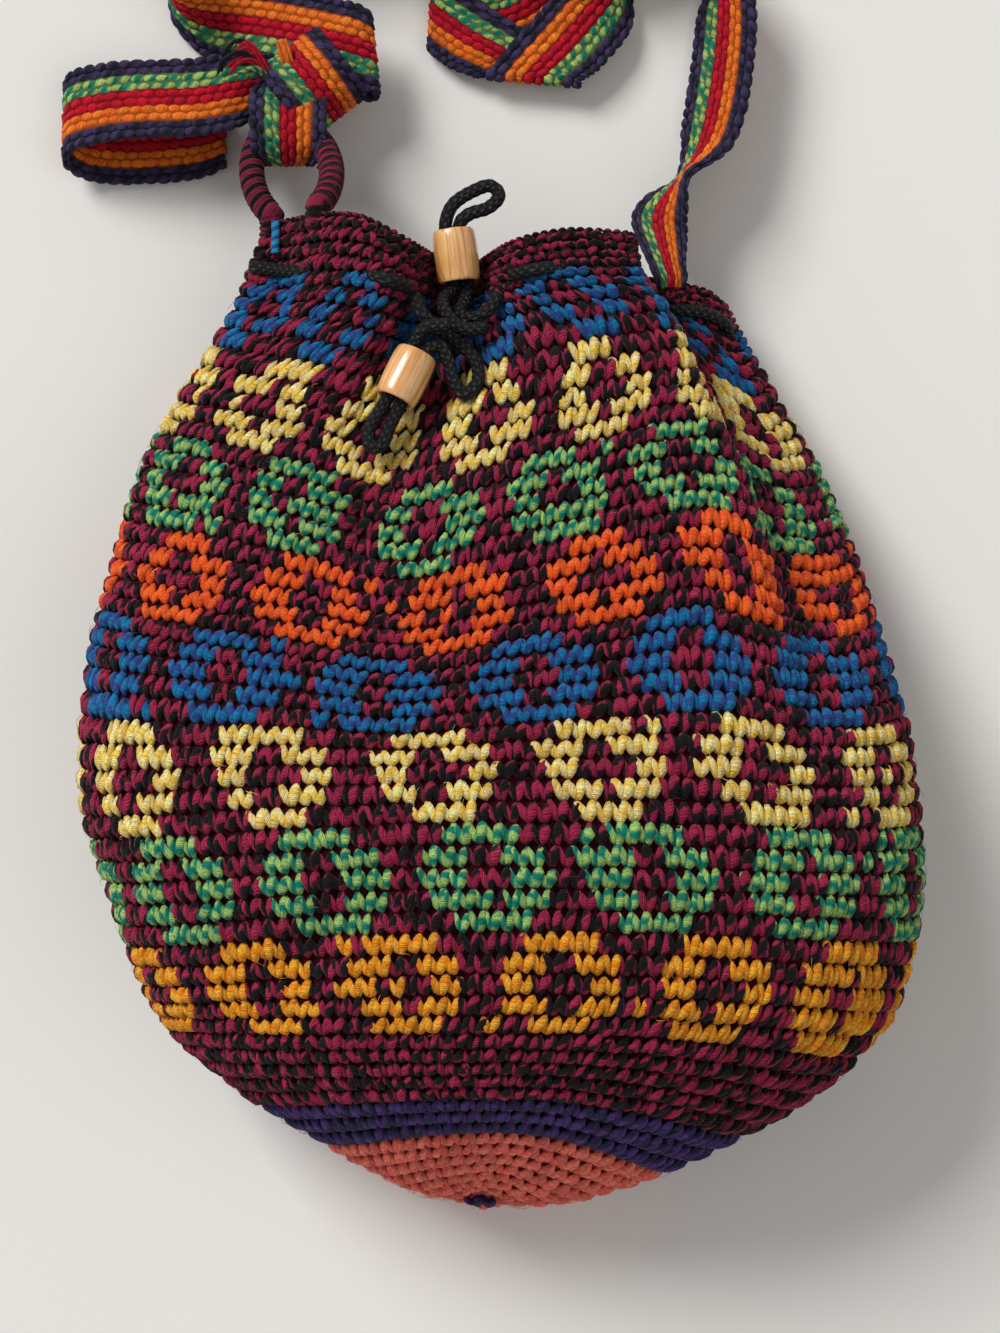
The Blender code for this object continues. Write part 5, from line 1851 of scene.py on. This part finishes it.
@dataclass
class WrappedLoop:
    """The loop at the left end of the rim, wound closely with marled yarn."""

    winding: float = 2.0 * MM
    sides: int = 28
    relief: float = 0.09
    foot: float = 7.0 * MM
    sink: float = 3.0 * MM

    def _route(self) -> np.ndarray:
        """Lay the loop's middle line, from one foot over the arch to the other.

        Returns:
            Its points.
        """
        radius = LOOP_TUBE / 2
        half_width, half_height = LOOP_WIDTH / 2 - radius, (LOOP_HEIGHT - LOOP_TUBE) / 2
        start = math.radians(LOOP_FOOT_ANGLE)
        spread = half_width * math.sin(start)
        left, right = (rim_place(LOOP_X + side * spread)[0] for side in (-1, 1))
        foot_y = max(left.y, right.y) + radius * math.sin(start) + GAP
        points = []
        for step in range(LOOP_STEPS + 1):
            angle = -math.pi / 2 + start + (TAU - 2 * start) * step / LOOP_STEPS
            side = half_width * math.cos(angle)
            lift = math.sin(angle) + math.cos(start)
            share = lift / (1 + math.cos(start))
            across = min(max((side / spread + 1) / 2, 0.0), 1.0)
            foot_z = right.z + (left.z - right.z) * (1 - across) - WALL / 2
            points.append((LOOP_X + LOOP_LEAN * share + side, foot_y + half_height * lift,
                           foot_z + (LOOP_TIP_Z - foot_z) * share))
        points = np.array(points[::-1])
        sunk = np.array((0.0, -self.foot, -self.sink))
        return np.vstack([points[0] + sunk, points, points[-1] + sunk])

    def _swell(self, course: np.ndarray, angle: np.ndarray) -> np.ndarray:
        """Round each of the two windings.

        Args:
            course: The turns of the winding along the loop.
            angle: The share of the way round it.

        Returns:
            The factor on the radius.
        """
        return 1 - self.relief + 2 * self.relief * np.abs(np.sin(math.pi * (course + 2 * angle)))

    def build(self) -> None:
        """Wind the loop."""
        route = smooth_route(self._route(), self.winding / 9)
        parts = [tube(route, LOOP_TUBE / 2 * 0.98, self.sides, self.winding, self._swell)]
        material = YarnFinish("loop_yarn", twist=0.5, strands=0.0, fibres=0.0, edge=0.30).make()
        piece = tube_object("wrapped_loop", parts, material, [Yarn.WRAPPING])
        attach(piece, "bag", "wrapped_yarn", "strap_loop")


@dataclass
class Lashing:
    """The yarn that sews the strap's end to the rim."""

    def build(self) -> None:
        """Lay the upright legs of the sewing."""
        points = []
        for leg in range(LASHING_LEGS):
            x = LASHING_X + (leg - (LASHING_LEGS - 1) / 2) * LASHING_PITCH
            levels = LASHING_LEVELS if leg % 2 else LASHING_LEVELS[::-1]
            for level in np.linspace(*levels, 4):
                point, normal = rim_place(x, level)
                points.append(point + normal * (LASHING_DIAMETER / 2 + GAP))
        route = smooth_route(np.array(points), 0.5 * MM)
        parts = [tube(route, LASHING_DIAMETER / 2, 12, 4.0 * MM)]
        material = YarnFinish("sewing_yarn", twist=1.0, edge=0.4).make()
        piece = tube_object("strap_sewing", parts, material, [Yarn.GROUND])
        attach(piece, "bag", "wrapped_yarn", "strap_lashing")


@dataclass
class Tufts:
    """The loose yarn ends that stick out of the knot, and the blue strand round the loop's foot."""

    yarn_radius: float = 0.55 * MM
    ends: tuple[tuple[Yarn, tuple[tuple[float, float, float], ...]], ...] = (
        (Yarn.STRAP_RED, ((-74, 207, 20), (-77, 212, 23), (-82, 215, 25), (-86, 213, 25))),
        (Yarn.STRAP_RED, ((-74, 206, 21), (-79, 213, 24), (-83, 212, 26), (-87, 209.5, 26))),
        (Yarn.STRAP_RED, ((-74, 206, 22), (-80, 211, 26), (-84, 210, 27), (-86, 207, 26.5))),
        (Yarn.STRAP_RED, ((-74, 207, 22), (-79, 215, 25), (-82, 217, 25), (-84, 215, 25))),
        (Yarn.BLACK, ((-74, 208, 20), (-80, 216, 24), (-85, 217.5, 25), (-89, 213, 24.5))),
        (Yarn.BLACK, ((-75, 207, 22), (-83, 213.5, 27), (-88.5, 211, 27), (-90, 207.5, 25))),
        (Yarn.STRAP_GREEN, ((-74, 206, 21), (-79, 208.5, 26), (-85, 206.5, 26))),
        (Yarn.STRAP_ORANGE, ((-68, 207, 22), (-69.5, 212, 26), (-71, 217, 27))),
        (Yarn.STRAP_ORANGE, ((-66.5, 207, 22), (-67.5, 212, 26.5), (-69.5, 217.5, 27))),
        (Yarn.STRAP_NAVY, ((-57, 184, 26), (-56, 180, 27), (-58, 177, 25))),
        (Yarn.STRAP_NAVY, ((-58, 185, 27), (-57.5, 181, 28), (-60, 178, 26))),
    )
    strand_radius: float = 1.4 * MM
    strand_x: float = -71.0 * MM
    strand_levels: tuple[float, float] = (60.2, 57.4)

    def build(self) -> None:
        """Lay the loose ends and the blue strand."""
        material = YarnFinish("loose_yarn", twist=1.0, edge=0.5).make()
        parts, tones = [], []
        for yarn, points in self.ends:
            for shift in (-0.9, 0.9):
                aside = np.array((shift, shift * 0.6, 0.0)) * self.yarn_radius
                route = smooth_route(np.array(points, dtype=float) * MM + aside, 0.6 * MM)
                parts.append(tube(route, self.yarn_radius, 8, 3.0 * MM))
                tones.append(yarn)
        attach(tube_object("strap_loose_ends", parts, material, tones), "bag", "striped_webbing", "strap")
        levels = np.linspace(*self.strand_levels, 6)
        places = [rim_place(self.strand_x, min(level, ROUNDS)) for level in levels]
        route = smooth_route([point + normal * self.strand_radius for point, normal in places], 0.4 * MM)
        parts = [tube(route, self.strand_radius, 12, 3.0 * MM)]
        attach(tube_object("blue_strand", parts, material, [Yarn.CYAN]), "bag", "wrapped_yarn", "strap_loop")


@dataclass
class Studio:
    """The floor and the soft lights."""

    key: float = 2470.0
    key_place: tuple[float, float, float] = (-9.0, 9.45, 10.35)
    key_size: float = 6.75
    fill: float = 20.0
    fill_place: tuple[float, float, float] = (2.2, -0.8, 2.9)
    fill_size: float = 3.0
    aim: tuple[float, float, float] = (0.0, 0.0, 0.05)
    world: float = 0.30
    backdrop_color: tuple[float, float, float] = (0.76, 0.74, 0.71)
    floor_half: float = 4.0

    def _area(self, name: str, place: tuple[float, float, float], size: float, power: float) -> None:
        """Add an area light that faces the bag.

        Args:
            name: The light's name.
            place: Where it hangs.
            size: The side of its square.
            power: Its power in watts.
        """
        data = bpy.data.lights.new(name, "AREA")
        data.size, data.energy = size, power
        made = bpy.data.objects.new(name, data)
        made.location = place
        made.rotation_euler = (Vector(self.aim) - Vector(place)).to_track_quat("-Z", "Y").to_euler()
        bpy.context.scene.collection.objects.link(made)

    def _air(self) -> None:
        """Light the bag evenly from all round, and show a plain backdrop to the camera and in reflections."""
        world = bpy.data.worlds.new("world")
        bpy.context.scene.world = world
        world.use_nodes = True
        tree = world.node_tree
        light, seen = tree.nodes["Background"], tree.nodes.new("ShaderNodeBackground")
        light.inputs["Color"].default_value = (1.0, 1.0, 1.0, 1.0)
        light.inputs["Strength"].default_value = self.world
        seen.inputs["Color"].default_value = (*self.backdrop_color, 1.0)
        path, mix = tree.nodes.new("ShaderNodeLightPath"), tree.nodes.new("ShaderNodeMixShader")
        share = path.outputs["Is Camera Ray"]
        for ray in ("Is Glossy Ray", "Is Transmission Ray"):
            larger = tree.nodes.new("ShaderNodeMath")
            larger.operation = "MAXIMUM"
            tree.links.new(share, larger.inputs[0])
            tree.links.new(path.outputs[ray], larger.inputs[1])
            share = larger.outputs["Value"]
        tree.links.new(share, mix.inputs["Fac"])
        tree.links.new(light.outputs["Background"], mix.inputs[1])
        tree.links.new(seen.outputs["Background"], mix.inputs[2])
        tree.links.new(mix.outputs["Shader"], tree.nodes["World Output"].inputs["Surface"])

    def build(self) -> None:
        """Lay the floor and hang the lights."""
        signs = ((-1, -1), (1, -1), (1, 1), (-1, 1))
        corners = np.array([(x * self.floor_half, y * self.floor_half, 0.0) for x, y in signs])
        floor = mesh_from("floor", corners, np.array([[0, 1, 2, 3]]), FloorFinish().make())
        self._area("key", self.key_place, self.key_size, self.key)
        self._area("fill", self.fill_place, self.fill_size, self.fill)
        self._air()
        bpy.context.scene.view_settings.view_transform = "Standard"


def main() -> None:
    """Build the scene, from the camera and the cords to the floor."""
    logging.basicConfig(level=logging.INFO, format="%(name)s: %(message)s")
    Camera().build()
    beads = Beads()
    beads.build()
    Drawstring().build(beads)
    Crochet().build()
    Strap().build()
    WrappedLoop().build()
    Lashing().build()
    Tufts().build()
    Studio().build()
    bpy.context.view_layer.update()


if __name__ == "__main__":
    main()
